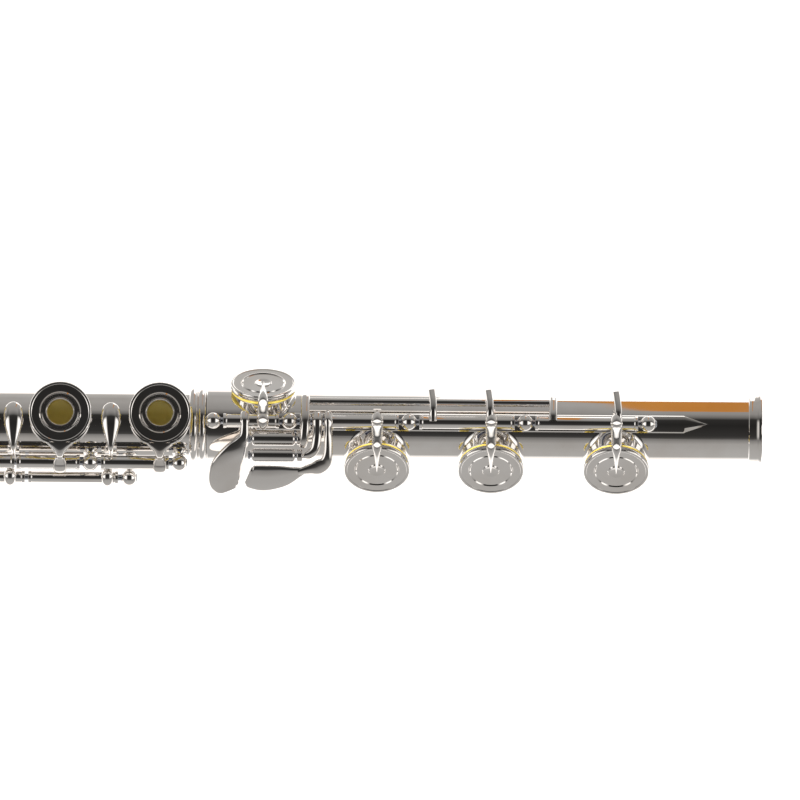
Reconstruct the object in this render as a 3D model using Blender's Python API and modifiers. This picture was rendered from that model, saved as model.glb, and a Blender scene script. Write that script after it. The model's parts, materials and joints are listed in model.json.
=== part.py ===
"""A concert flute with open-hole cups and a B foot, as an assembly of separate pieces.

The tube lies along +X, from the flat end of the crown at x = 0 to the open end of the foot.
+Z is the side of the body's tone holes and -Y is the player's side. An angle round the tube,
called "turn" here, is in degrees from +Z towards the player. Sizes are in millimetres, and MM
turns them into Blender's metres. Each key is modelled closed, and its pivot empty then holds
it at its resting angle.
"""

import math
from dataclasses import dataclass

import bmesh
import bpy
from mathutils import Matrix, Vector

MM = 0.001
GAP = 0.3  # between pieces that touch on the real flute

# The three joints of the flute, along X
LENGTH = 695.0
EMBOUCHURE_X = 57.0
BARREL_X = (180.0, 227.0)
HEAD_END_X = 221.5
BODY_X = (222.0, 538.0)
FOOT_X = 529.9
SOCKET_RING_X = (524.5, 529.6)
END_RING_LENGTH = 4.0
END_RING_LIP = 0.5

# Tubes
BORE = 9.5
TUBE = 9.9
HEAD_BORE_AT_CORK = 8.6
WALL = TUBE - BORE
RECEIVER = 10.2
SIDES = 20
FINE_SIDES = 14
HOLE_SPIN = 5.0  # keeps the corners of a chimney off the corners of the tube
BORE_SPIN = 3.0  # and those of the bore off the ones outside

# Tone holes and cups, as heights above the plane of the tone hole's rim
RIM = 11.4
CHIMNEY_WALL = 0.6
PAD_OVERLAP = 0.85
CUP_OVERLAP = 1.6
CUP_WALL = 0.45
SKIRT = 0.7
PAD = (0.1, 2.2)
PLATE = (2.5, 3.1)
FINGER_HOLE = 3.75
GROMMET = 4.6
FINGER_RING = (6.2, 3.5)
ARM_HEIGHT = 3.6

# Mechanism
SHAFT = 0.95
BEARING = 1.25
KEY_TUBE = 2.0
TRILL_TUBE = 1.7
BRIDGE_TUBE = 1.1
POST_BALL = 2.7
POST_STEM = 1.25
RIB = (10.2, 10.9)
RECEIVER_RIB = (11.3, 12.1)
ROLLER = (1.05, 2.0)
AXLE = 0.7

SILVER = (0.86, 0.84, 0.81)
STEEL = (0.55, 0.56, 0.58)


@dataclass
class Rod:
    """A hinge line: its distance from the tube's axis, and its turn."""

    radius: float
    turn: float

    def at(self, x):
        return around(x, self.turn, self.radius)


@dataclass
class Hole:
    """A tone hole with its chimney, and the cup over it."""

    x: float
    turn: float
    radius: float
    finger: bool = False

    @property
    def chimney(self):
        return self.radius + CHIMNEY_WALL

    @property
    def cup(self):
        return self.radius + CUP_OVERLAP


def around(x, turn, radius):
    """The point at this distance from the tube's axis."""
    angle = math.radians(turn)
    return Vector((x, -radius * math.sin(angle), radius * math.cos(angle)))


MAIN_ROD = Rod(14.8, 67.0)
TRILL_ROD = Rod(16.3, 92.0)
GSHARP_ROD = Rod(15.0, -60.0)
THUMB_ROD = Rod(14.8, 197.0)
FOOT_ROD = Rod(14.4, 12.0)
BRIDGE_ROD = Rod(14.8, -14.0)
TRILL_TOUCH_X = (501.2, 472.2)

# Tone holes from the foot upwards. The spacing follows the semitones.
LOW_B = Hole(651.6, 75.0, 8.1)
LOW_C = Hole(614.3, 75.0, 8.1)
LOW_CSHARP = Hole(580.4, 75.0, 8.1)
LOW_DSHARP = Hole(546.4, -46.0, 8.1)
D = Hole(515.8, 0.0, 7.7, finger=True)
E = Hole(486.1, 0.0, 7.7, finger=True)
F = Hole(458.6, 0.0, 7.7, finger=True)
FSHARP = Hole(432.4, 0.0, 7.7)
LOWER_G = Hole(407.7, 0.0, 7.7)
GSHARP = Hole(407.7, -108.0, 6.0)
UPPER_G = Hole(384.3, 0.0, 7.7, finger=True)
A = Hole(362.3, 0.0, 7.7, finger=True)
BFLAT = Hole(341.5, 0.0, 7.3)
THUMB_B = Hole(331.8, 145.0, 6.8)
C = Hole(320.8, 0.0, 7.3)
SMALL_CSHARP = Hole(293.8, 0.0, 3.6)
TRILL_D = Hole(275.8, 150.0, 3.6)
TRILL_DSHARP = Hole(258.8, 150.0, 3.6)
FOOT_HOLES = (LOW_B, LOW_C, LOW_CSHARP, LOW_DSHARP)
BODY_HOLES = (
    D, E, F, FSHARP, LOWER_G, GSHARP, UPPER_G, A, BFLAT, THUMB_B, C, SMALL_CSHARP, TRILL_D, TRILL_DSHARP,
)


# ---------------------------------------------------------------- scene and materials


def clear_scene():
    for obj in list(bpy.data.objects):
        bpy.data.objects.remove(obj)


def new_collection(name):
    collection = bpy.data.collections.new(name)
    bpy.context.scene.collection.children.link(collection)
    return collection


def material(name, colour, metallic, roughness):
    made = bpy.data.materials.new(name)
    made.use_nodes = True
    shader = made.node_tree.nodes["Principled BSDF"]
    shader.inputs["Base Color"].default_value = (*colour, 1.0)
    shader.inputs["Metallic"].default_value = metallic
    shader.inputs["Roughness"].default_value = roughness
    return made


clear_scene()
FLUTE = new_collection("flute")
TOOLS = new_collection("flute_tools")
MATERIALS = {
    "silver": material("silver_plate", SILVER, 1.0, 0.12),
    "steel": material("spring_steel", STEEL, 1.0, 0.25),
    "pad": material("pad_skin", (0.78, 0.66, 0.32), 0.0, 0.6),
    "cork": material("cork", (0.55, 0.36, 0.2), 0.0, 0.9),
    "roller": material("roller_plate", SILVER, 1.0, 0.2),
}


# ---------------------------------------------------------------- building blocks


def add_object(name, mesh, finish=None):
    """A mesh object: a piece of the flute if it has a finish, and a tool for a Boolean if not."""
    obj = bpy.data.objects.new(name, mesh)
    if finish is None:
        TOOLS.objects.link(obj)
        obj.hide_render = True
        obj.display_type = "WIRE"
    else:
        FLUTE.objects.link(obj)
        mesh.materials.append(MATERIALS[finish])
        mesh.shade_smooth()
    return obj


def keep(tool):
    """Makes a tool a silver piece of the flute, for the others to be joined to."""
    TOOLS.objects.unlink(tool)
    FLUTE.objects.link(tool)
    tool.hide_render = False
    tool.display_type = "TEXTURED"
    tool.data.materials.append(MATERIALS["silver"])
    return tool


def place(obj, location, turn=0.0, spin=0.0):
    """Stands the object's Z axis at this turn, after spinning it about that axis."""
    stand = Matrix.Rotation(math.radians(turn), 3, "X")
    obj.location = Vector(location) * MM
    obj.rotation_euler = (stand @ Matrix.Rotation(math.radians(spin), 3, "Z")).to_euler()
    return obj


def turned(name, profile, steps=FINE_SIDES, finish=None):
    """A solid of revolution about Z. The profile's (radius, height) points run down the outer side."""
    mesh = bpy.data.meshes.new(name)
    points = [(radius * MM, 0.0, height * MM) for radius, height in profile]
    edges = [(i, i + 1) for i in range(len(points) - 1)]
    if profile[0][0] > 0:
        edges.append((len(points) - 1, 0))
    mesh.from_pydata(points, edges, [])
    obj = add_object(name, mesh, finish)
    screw = obj.modifiers.new("turn", "SCREW")
    screw.steps = screw.render_steps = steps
    screw.use_merge_vertices = True
    screw.merge_threshold = 1e-6
    return obj


def turned_along_x(name, profile, steps=SIDES, finish=None, spin=0.0):
    """A solid of revolution about the tube's axis. The profile is (radius, x), with x falling outside."""
    obj = turned(name, profile, steps, finish)
    spun = Matrix.Rotation(math.radians(spin), 3, "X") @ Matrix.Rotation(math.radians(90.0), 3, "Y")
    obj.rotation_euler = spun.to_euler()
    return obj


def ring_along_x(name, inner, outer, x_from, x_to, steps=SIDES, finish=None):
    profile = [(outer, x_to), (outer, x_from), (inner, x_from), (inner, x_to)]
    return turned_along_x(name, profile, steps, finish)


def cylinder(name, start, end, radius, sides=8, finish=None, spin=0.0):
    """A solid cylinder between two points, spun about its own axis by this many degrees."""
    start, end = Vector(start), Vector(end)
    mesh = bpy.data.meshes.new(name)
    shape = bmesh.new()
    bmesh.ops.create_cone(
        shape,
        cap_ends=True,
        segments=sides,
        radius1=radius * MM,
        radius2=radius * MM,
        depth=(end - start).length * MM,
        matrix=Matrix.Rotation(math.radians(spin), 4, "Z"),
    )
    shape.to_mesh(mesh)
    shape.free()
    obj = add_object(name, mesh, finish)
    obj.location = (start + end) / 2 * MM
    obj.rotation_euler = (end - start).to_track_quat("Z", "X").to_euler()
    return obj


def mesh_of_curve(name, curve, matrix=None):
    """A curve made a closed mesh, so that a Boolean can take it."""
    guide = bpy.data.objects.new(name + "_curve", curve)
    TOOLS.objects.link(guide)
    if matrix is not None:
        guide.matrix_world = matrix
    bpy.context.view_layer.update()
    evaluated = guide.evaluated_get(bpy.context.evaluated_depsgraph_get())
    mesh = bpy.data.meshes.new_from_object(evaluated)
    shape = bmesh.new()
    shape.from_mesh(mesh)
    bmesh.ops.remove_doubles(shape, verts=shape.verts, dist=1e-6)
    shape.to_mesh(mesh)
    shape.free()
    obj = add_object(name, mesh)
    obj.matrix_world = guide.matrix_world
    bpy.data.objects.remove(guide)
    return obj


def bar(name, points, radii):
    """A tapering round bar through the points."""
    curve = bpy.data.curves.new(name, "CURVE")
    curve.dimensions = "3D"
    curve.bevel_depth = MM
    curve.bevel_resolution = 1
    curve.use_fill_caps = True
    spline = curve.splines.new("POLY")
    spline.points.add(len(points) - 1)
    for knot, point, radius in zip(spline.points, points, radii):
        knot.co = (*(Vector(point) * MM), 1.0)
        knot.radius = radius
    return mesh_of_curve(name, curve)


def plate(name, outline, thickness, matrix):
    """A flat plate of this outline, standing half its thickness each side of the matrix's plane."""
    curve = bpy.data.curves.new(name, "CURVE")
    curve.dimensions = "2D"
    curve.fill_mode = "BOTH"
    curve.extrude = thickness / 2 * MM
    spline = curve.splines.new("POLY")
    spline.points.add(len(outline) - 1)
    for knot, (across, up) in zip(spline.points, outline):
        knot.co = (across * MM, up * MM, 0.0, 1.0)
    spline.use_cyclic_u = True
    return mesh_of_curve(name, curve, matrix)


def level(centre, tilt=0.0):
    """The matrix of a plate centred here, whose -Y edge drops by this many degrees."""
    return Matrix.Translation(Vector(centre) * MM) @ Matrix.Rotation(math.radians(tilt), 4, "X")


def paddle(half_width, half_length, taper=0.0, count=16):
    """An oval outline, squarer than an ellipse, whose +X end is narrower by this share."""
    points = []
    for i in range(count):
        angle = 2 * math.pi * i / count
        across, up = math.cos(angle), math.sin(angle)
        across = math.copysign(abs(across) ** 0.75, across)
        up = math.copysign(abs(up) ** 0.75, up)
        points.append((half_width * across, half_length * up * (1 - taper * (across + 1) / 2)))
    return points


def teardrop(radius, tail):
    """A round head at the origin with a tail towards -Y."""
    start = math.radians(-15.0)
    points = []
    for i in range(9):
        angle = start + (math.pi - 2 * start) * i / 8
        points.append((radius * math.cos(angle), radius * math.sin(angle)))
    return points + [(-0.5, -tail), (0.5, -tail)]


def boolean(target, operation, others):
    for other in others:
        modifier = target.modifiers.new(operation.lower(), "BOOLEAN")
        modifier.operation = operation
        modifier.solver = "EXACT"
        modifier.object = other
    return target


def unite(target, others):
    return boolean(target, "UNION", others)


def cut(target, others):
    return boolean(target, "DIFFERENCE", others)


# ---------------------------------------------------------------- tubes


def hole_tools(holes, radius_of, low, high, name):
    """One cylinder for each hole, standing on its axis."""
    return [
        cylinder(
            f"{name}_{i}",
            around(hole.x, hole.turn, low),
            around(hole.x, hole.turn, high),
            radius_of(hole),
            FINE_SIDES,
            spin=HOLE_SPIN,
        )
        for i, hole in enumerate(holes)
    ]


def tube_with_holes(name, outside, inside, holes):
    """A tube with a drawn chimney round each tone hole."""
    tube = turned_along_x(name, outside, finish="silver")
    unite(tube, hole_tools(holes, lambda hole: hole.chimney, 2.0, RIM, name + "_chimney"))
    cut(tube, [turned_along_x(name + "_bore", inside, spin=BORE_SPIN)])
    cut(tube, hole_tools(holes, lambda hole: hole.radius, 2.0, RIM + 2.0, name + "_hole"))
    return tube


def body_tube():
    outside = [(0.0, BODY_X[1]), (TUBE, BODY_X[1]), (TUBE, BODY_X[0]), (0.0, BODY_X[0])]
    inside = [(0.0, BODY_X[1] + 1), (BORE, BODY_X[1] + 1), (BORE, BODY_X[0] - 1), (0.0, BODY_X[0] - 1)]
    return tube_with_holes("body_tube", outside, inside, BODY_HOLES)


def foot_tube():
    end = LENGTH - END_RING_LIP - GAP
    receiver_end = BODY_X[1] + GAP
    outside = [
        (0.0, end),
        (TUBE, end),
        (TUBE, FOOT_X + 13.5),
        (TUBE + 1.1, FOOT_X + 12.5),
        (TUBE + 1.1, FOOT_X),
        (0.0, FOOT_X),
    ]
    inside = [
        (0.0, end + 1),
        (BORE, end + 1),
        (BORE, receiver_end),
        (RECEIVER, receiver_end),
        (RECEIVER, FOOT_X - 1),
        (0.0, FOOT_X - 1),
    ]
    return tube_with_holes("foot_tube", outside, inside, FOOT_HOLES)


def rings():
    """The barrel and the two rings of the foot."""
    start, end = BARREL_X
    shoulder = TUBE + 1.6
    band = shoulder + 1.0
    turned_along_x(
        "barrel",
        [
            (shoulder, end),
            (band, end - 0.8),
            (band, end - 3.5),
            (shoulder, end - 4.3),
            (shoulder, start + 4.3),
            (band, start + 3.5),
            (band, start + 0.8),
            (shoulder, start),
            (RECEIVER, start),
            (RECEIVER, end),
        ],
        finish="silver",
    )
    start, end = SOCKET_RING_X
    turned_along_x(
        "socket_ring",
        [
            (TUBE + 1.5, end),
            (TUBE + 1.9, end - 0.8),
            (TUBE + 1.9, start + 0.8),
            (TUBE + 1.5, start),
            (RECEIVER, start),
            (RECEIVER, end),
        ],
        finish="silver",
    )
    end = LENGTH
    start = LENGTH - END_RING_LENGTH
    turned_along_x(
        "end_ring",
        [
            (TUBE + 1.0, end),
            (TUBE + 1.0, end - 1.2),
            (TUBE + 0.7, end - 1.6),
            (TUBE + 0.7, end - 2.4),
            (TUBE + 1.0, end - 2.8),
            (TUBE + 1.0, start),
            (RECEIVER, start),
            (RECEIVER, end - END_RING_LIP),
            (BORE, end - END_RING_LIP),
            (BORE, end),
        ],
        finish="silver",
    )


# ---------------------------------------------------------------- head joint

PLATE_SHELL = (13.0, 13.9)
LIP_PLATE_HALF = (31.0, 12.0)
RISER_HALF = (7.6, 7.0)
MOUTH_HALF = (6.1, 5.1)
CORK_X = (22.0, 39.5)
TENON = 9.85


def head_radius(x):
    """The head tapers from its tenon to the cork."""
    share = max(0.0, (HEAD_END_X - x) / (HEAD_END_X - CORK_X[1]))
    return TENON - (BORE - HEAD_BORE_AT_CORK) * min(share, 1.0)


def oval_prism(name, half_x, half_y, low, high):
    """An upright prism over the mouth hole, with an elliptical outline."""
    outline = [
        (half_x * math.cos(2 * math.pi * i / SIDES), half_y * math.sin(2 * math.pi * i / SIDES))
        for i in range(SIDES)
    ]
    centre = (EMBOUCHURE_X, 0.0, (low + high) / 2)
    return plate(name, outline, high - low, level(centre))


def shell_piece(name, inner, outer, half_length, outline):
    """What an upright oval prism takes from a tube round the axis."""
    piece = ring_along_x(
        name, inner, outer, EMBOUCHURE_X - half_length, EMBOUCHURE_X + half_length, steps=28, finish="silver"
    )
    return boolean(piece, "INTERSECT", [outline])


def head_joint():
    start = 10.5
    xs = [HEAD_END_X, CORK_X[1], start]
    outside = [(0.0, xs[0])] + [(head_radius(x), x) for x in xs] + [(0.0, xs[-1])]
    bore = [(head_radius(x) - WALL, x) for x in xs]
    inside = [(0.0, xs[0] + 1), (bore[0][0], xs[0] + 1), bore[1], (bore[2][0], start - 1), (0.0, start - 1)]
    tube = turned_along_x("head_tube", outside, finish="silver")
    cut(tube, [turned_along_x("head_bore", inside)])
    mouth = oval_prism("mouth_hole", *MOUTH_HALF, 3.0, 20.0)
    cut(tube, [mouth])
    wall = head_radius(EMBOUCHURE_X)
    riser = shell_piece(
        "riser", wall + GAP, PLATE_SHELL[0] - GAP, 12.0, oval_prism("riser_outline", *RISER_HALF, 3.0, 20.0)
    )
    cut(riser, [mouth])
    lip_plate = shell_piece(
        "lip_plate", *PLATE_SHELL, 40.0, oval_prism("plate_outline", *LIP_PLATE_HALF, 3.0, 20.0)
    )
    cut(lip_plate, [mouth])


def crown_and_stopper():
    inner = head_radius(CORK_X[0]) - WALL
    low, high = CORK_X
    turned_along_x(
        "crown",
        [
            (0.0, 16.5),
            (2.6, 16.5),
            (2.6, 12.0),
            (inner - GAP, 12.0),
            (inner - GAP, 10.2),
            (head_radius(0.0) + 0.5, 10.2),
            (head_radius(0.0) + 0.9, 9.4),
            (head_radius(0.0) + 0.9, 8.2),
            (head_radius(0.0), 7.4),
            (head_radius(0.0) + 0.2, 3.2),
            (7.6, 1.0),
            (6.0, 0.0),
            (0.0, 0.0),
        ],
        finish="silver",
    )
    cut(
        bpy.data.objects["crown"],
        [cylinder("crown_thread", (5.0, 0.0, 0.0), (18.0, 0.0, 0.0), 1.9)],
    )
    turned_along_x(
        "stopper_cork",
        [(inner - GAP, high), (inner - GAP, low), (1.8, low), (1.8, high)],
        steps=FINE_SIDES,
        finish="cork",
    )
    turned_along_x(
        "stopper_screw",
        [
            (0.0, high + 1.5),
            (inner - GAP, high + 1.5),
            (inner - GAP, high + GAP),
            (1.5, high + GAP),
            (1.5, low - GAP),
            (5.0, low - GAP),
            (5.0, low - 1.5),
            (1.5, low - 1.5),
            (1.5, 6.0),
            (0.0, 6.0),
        ],
        steps=FINE_SIDES,
        finish="steel",
    )


# ---------------------------------------------------------------- ribs, posts and steels


def strap(name, turn_from, turn_to, x_from, x_to, band):
    """A strip of tube wall, as a flat ring sector drawn out along X."""
    steps = 5
    turns = [turn_from + (turn_to - turn_from) * i / steps for i in range(steps + 1)]
    outline = []
    for radius, sweep in ((band[1], turns), (band[0], reversed(turns))):
        for turn in sweep:
            point = around(0.0, turn, radius)
            outline.append((point.y, point.z))
    along_x = Matrix(((0, 0, 1, 0), (1, 0, 0, 0), (0, 1, 0, 0), (0, 0, 0, 1)))
    middle = Matrix.Translation(Vector(((x_from + x_to) / 2, 0.0, 0.0)) * MM)
    return plate(name, outline, x_to - x_from, middle @ along_x)


def post_profile(length):
    """A ball on a stem of this length, turned in one piece."""
    outer = [(0.0, POST_BALL)]
    for angle in (50.0, 18.0, -18.0):
        outer.append((POST_BALL * math.cos(math.radians(angle)), POST_BALL * math.sin(math.radians(angle))))
    return outer + [(POST_STEM, -2.3), (POST_STEM, -length), (0.0, -length)]


def rib(name, turns, xs, rod, posts, holes=(), notches=(), bearing=BEARING, band=RIB):
    """A rib with its posts, scalloped round the chimneys it passes, and bored along the rod. Each
    notch, at this place along X, makes room for an arm that passes between the rib and the rod."""
    piece = keep(strap(name, *turns, *xs, band))
    if holes:
        cut(piece, hole_tools(holes, lambda hole: hole.chimney + GAP, 5.0, 16.0, name + "_clear"))
    for x in notches:
        cut(piece, [strap(f"{name}_notch_{x:.0f}", 50.0, 78.0, x - 1.1, x + 1.1, (9.0, 12.5))])
    for i, x in enumerate(posts):
        post = turned(f"{name}_post_{i}", post_profile(rod.radius - band[0] - 0.25), steps=10)
        unite(piece, [place(post, rod.at(x), rod.turn, spin=2 * HOLE_SPIN)])
    low, high = rod.at(xs[0] - 5.0), rod.at(xs[1] + 5.0)
    cut(piece, [cylinder(name + "_bearing", low, high, bearing, spin=HOLE_SPIN)])
    return piece


def steel(name, rod, x_from, x_to):
    return cylinder(name, rod.at(x_from), rod.at(x_to), SHAFT, 8, "steel")


def ribs_and_steels():
    main_posts = (282.0, 351.0, 420.0, 495.1, 521.6)
    rib("main_rib", (52.0, 84.0), (280.0, 524.1), MAIN_ROD, main_posts, BODY_HOLES, TRILL_TOUCH_X)
    rib("trill_rib", (86.0, 97.0), (249.0, 509.0), TRILL_ROD, (251.0, 390.0, 506.7), bearing=2.0)
    rib("gsharp_rib", (-66.0, -55.0), (392.5, 422.5), GSHARP_ROD, (395.5, 420.0), (LOWER_G, GSHARP))
    rib("thumb_rib", (193.5, 203.0), (312.0, 352.0), THUMB_ROD, (314.5, 349.0))
    rib("foot_rib", (-5.0, 24.5), (543.9, 678.6), FOOT_ROD, (554.3, 589.8, 624.4, 661.0), FOOT_HOLES)
    rib("receiver_post", (5.0, 19.0), (530.4, 534.0), FOOT_ROD, (531.6,), band=RECEIVER_RIB)
    steel("right_hand_steel", MAIN_ROD, 420.8, 524.0)
    steel("left_hand_steel", MAIN_ROD, 279.6, 419.2)
    steel("gsharp_steel", GSHARP_ROD, 393.2, 422.4)
    steel("thumb_steel", THUMB_ROD, 312.2, 351.4)
    steel("foot_dsharp_steel", FOOT_ROD, 529.4, 554.2)


# ---------------------------------------------------------------- keys


class Key:
    """One key on its rod: its metal is a single solid, and each pad is its own piece."""

    def __init__(self, name, rod, resting):
        self.name = name
        self.rod = rod
        self.resting = resting
        self.parts = []
        self.cutters = []
        self.pads = []

    def label(self, what):
        return f"{self.name}_{what}_{len(self.parts)}"

    def add(self, part):
        self.parts.append(part)

    def sleeve(self, x_from, x_to, radius=KEY_TUBE):
        self.add(cylinder(self.label("tube"), self.rod.at(x_from), self.rod.at(x_to), radius))

    def bore(self, x_from, x_to):
        """The bearing through every sleeve between these ends."""
        self.cutters.append(
            cylinder(self.name + "_bearing", self.rod.at(x_from - 1), self.rod.at(x_to + 1), BEARING)
        )

    def bar(self, points, radii):
        self.add(bar(self.label("bar"), points, radii))

    def plate(self, outline, thickness, matrix):
        self.add(plate(self.label("plate"), outline, thickness, matrix))

    def cup(self, hole, pad_name, arm=True):
        """A cup over this hole with its pad, and the arm that joins it to the rod."""
        radius = hole.cup
        inner = radius - CUP_WALL
        profile = [(radius - 0.4, PLATE[1]), (radius, PLATE[1] - 0.4), (radius, SKIRT)]
        profile += [(inner, SKIRT), (inner, PLATE[0])]
        pad_radius = hole.radius + PAD_OVERLAP
        if hole.finger:
            profile += [(GROMMET, PLATE[0]), (GROMMET, 1.0), (FINGER_HOLE, 1.0), (FINGER_HOLE, FINGER_RING[1])]
            profile += [(FINGER_RING[0], FINGER_RING[1]), (FINGER_RING[0] + 0.4, PLATE[1])]
            inner_pad = GROMMET + GAP
            pad_profile = [(pad_radius, PAD[1]), (pad_radius, PAD[0]), (inner_pad, PAD[0]), (inner_pad, PAD[1])]
        else:
            profile = [(0.0, PLATE[1])] + profile + [(0.0, PLATE[0])]
            pad_profile = [(0.0, PAD[1]), (pad_radius, PAD[1]), (pad_radius, PAD[0]), (0.0, PAD[0])]
        rim_centre = around(hole.x, hole.turn, RIM)
        self.add(place(turned(self.label("cup"), profile), rim_centre, hole.turn))
        pad = turned(pad_name, pad_profile, finish="pad")
        self.pads.append(place(pad, rim_centre, hole.turn))
        if arm:
            self.arm(hole)

    def arm(self, hole):
        """A pointed arm to the middle of a plain cup, or two tines to the rim of an open one."""
        side = 1.0 if self.rod.turn > hole.turn else -1.0
        angle = math.radians(hole.turn)
        outward = Vector((0.0, -math.sin(angle), math.cos(angle)))
        across = Vector((0.0, -math.cos(angle), -math.sin(angle))) * side

        def at(reach, height, x=0.0):
            return Vector((hole.x + x, 0.0, 0.0)) + outward * (RIM + height) + across * reach

        axis = self.rod.at(hole.x)
        rod_reach = (axis - Vector((hole.x, 0.0, 0.0))).dot(across)
        rod_height = axis.dot(outward) - RIM
        bend = at(rod_reach - 0.2, (rod_height + ARM_HEIGHT) / 2)
        shoulder = at(hole.cup + 1.2, ARM_HEIGHT - 0.8)
        if not hole.finger:
            points = [axis, bend, shoulder, at(hole.cup - 1.0, ARM_HEIGHT), at(0.6, ARM_HEIGHT)]
            self.bar(points, [1.4, 1.3, 1.2, 1.1, 0.7])
            return
        self.bar([axis, bend, shoulder], [1.4, 1.3, 1.1])
        for lean in (-1.0, 1.0):
            tip = at(hole.cup * 0.62, PLATE[0] + 0.1, lean * hole.cup * 0.72)
            self.bar([shoulder - outward * 0.2, at(hole.cup - 0.1, PLATE[0], lean * 4.2), tip], [1.0, 0.9, 0.6])

    def finish(self):
        """Joins the metal parts, then turns the key to its resting angle about its rod."""
        pivot = bpy.data.objects.new(self.name + "_pivot", None)
        FLUTE.objects.link(pivot)
        pivot.location = self.rod.at(0.0) * MM
        metal, *others = self.parts
        metal.name = self.name
        unite(keep(metal), others)
        cut(metal, self.cutters)
        bpy.context.view_layer.update()
        for obj in [*self.parts, *self.cutters, *self.pads]:
            obj.parent = pivot
            obj.matrix_parent_inverse = pivot.matrix_world.inverted()
        pivot.rotation_euler = (math.radians(self.resting), 0.0, 0.0)
        return pivot


OPEN_BODY = 8.5
OPEN_THUMB = 8.0
OPEN_FOOT = -10.0


def simple_key(name, pad_names, holes, tube_x):
    """A key of the main rod: one tube and one or two cups."""
    key = Key(name, MAIN_ROD, OPEN_BODY)
    key.sleeve(*tube_x)
    for hole, pad_name in zip(holes, pad_names):
        key.cup(hole, pad_name)
    key.bore(*tube_x)
    key.finish()


def main_keys():
    simple_key("d_key", ("d_pad",), (D,), (498.3, 518.5))
    simple_key("e_key", ("e_pad",), (E,), (473.2, 492.0))
    simple_key("f_key", ("f_pad",), (F,), (446.2, 472.6))
    simple_key("fsharp_key", ("fsharp_pad",), (FSHARP,), (423.2, 445.6))
    simple_key("g_key", ("lower_g_pad", "upper_g_pad"), (LOWER_G, UPPER_G), (373.4, 416.8))
    simple_key("a_key", ("a_pad",), (A,), (354.2, 372.8))
    simple_key("bflat_key", ("bflat_pad",), (BFLAT,), (331.4, 347.8))
    simple_key("c_key", ("c_pad", "small_csharp_pad"), (C, SMALL_CSHARP), (285.2, 330.8))


def gsharp_key():
    """A closed key on the far side, whose lever crosses the tube to the player's side."""
    key = Key("gsharp_key", GSHARP_ROD, 0.0)
    key.sleeve(398.7, 416.8)
    key.cup(GSHARP, "gsharp_pad")
    x = 413.5
    start = GSHARP_ROD.at(x)
    lever = [start, (x + 2.0, 11.0, 14.0), (420.0, 5.0, 16.0), (420.0, -8.0, 16.0), (417.0, -15.5, 14.8)]
    key.bar(lever, [1.4, 1.2, 1.1, 1.1, 1.0])
    key.plate(paddle(9.5, 3.4), 1.3, level((411.0, -18.0, 14.2), 10.0))
    key.bore(398.7, 416.8)
    key.finish()


def thumb_key():
    key = Key("thumb_key", THUMB_ROD, OPEN_THUMB)
    key.sleeve(317.7, 345.8)
    key.cup(THUMB_B, "thumb_pad")
    turn = THUMB_B.turn + 4.0
    x = THUMB_B.x - 14.6
    centre = around(x, turn, 15.2)
    arm_x = 320.0
    key.bar([THUMB_ROD.at(arm_x), around(arm_x, 176.0, 16.6), around(arm_x - 1.0, 160.0, 15.6)], [1.4, 1.2, 1.0])
    key.plate(paddle(5.2, 6.5), 1.2, Matrix.Translation(centre * MM) @ Matrix.Rotation(math.radians(turn), 4, "X"))
    key.bore(317.7, 345.8)
    key.finish()


def trill_touch(key, x):
    """A teardrop between two finger cups, on an arm that passes between the main rod and the tube."""
    under = [(x, -13.4, 1.1), (x, -11.4, 3.75), (x, -10.95, 4.75), (x, -10.5, 6.2)]
    key.bar([TRILL_ROD.at(x), *under, (x, -10.4, 9.4), (x, -9.2, 13.9)], [1.3, 0.9, 0.5, 0.5, 0.5, 0.8, 0.9])
    key.plate(teardrop(2.7, 10.4), 1.2, level((x, -0.2, 14.2), 0.0))


def trill_keys():
    """Two closed keys on one line: the D sharp key's shaft turns inside the D key's tube."""
    shaft_key = Key("trill_dsharp_key", TRILL_ROD, 0.0)
    shaft_key.sleeve(249.6, 508.6, SHAFT)
    shaft_key.sleeve(254.4, 267.6, TRILL_TUBE)
    shaft_key.sleeve(476.6, 503.4, TRILL_TUBE)
    shaft_key.cup(TRILL_DSHARP, "trill_dsharp_pad")
    trill_touch(shaft_key, TRILL_TOUCH_X[0])
    shaft_key.finish()
    tube_key = Key("trill_d_key", TRILL_ROD, 0.0)
    tube_key.sleeve(268.6, 475.6, TRILL_TUBE)
    tube_key.cup(TRILL_D, "trill_d_pad")
    trill_touch(tube_key, TRILL_TOUCH_X[1])
    tube_key.bore(268.6, 475.6)
    tube_key.finish()


# ---------------------------------------------------------------- foot keys

ROLLER_X = (543.2, 556.0)
B_ROLLER = (-8.4, 13.0)
C_ROLLER = (-13.0, 11.2)


def roller_axle(key, centre):
    """An axle along X with a small head, standing out from the roller's arm."""
    y, z = centre
    key.add(cylinder(key.label("axle"), (542.3, y, z), (558.0, y, z), AXLE, 8))
    key.add(cylinder(key.label("axle_head"), (542.1, y, z), (542.9, y, z), 1.2, 8))


def roller(name, key_pivot, centre):
    y, z = centre
    low, high = ROLLER_X
    obj = turned_along_x(
        name,
        [
            (ROLLER[1] - 0.4, high),
            (ROLLER[1], high - 0.5),
            (ROLLER[1], low + 0.5),
            (ROLLER[1] - 0.4, low),
            (ROLLER[0], low),
            (ROLLER[0], high),
        ],
        steps=12,
        finish="roller",
    )
    obj.location = Vector((0.0, y, z)) * MM
    resting = key_pivot.rotation_euler.x
    key_pivot.rotation_euler.x = 0.0
    bpy.context.view_layer.update()
    obj.parent = key_pivot
    obj.matrix_parent_inverse = key_pivot.matrix_world.inverted()
    key_pivot.rotation_euler.x = resting
    return obj


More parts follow.
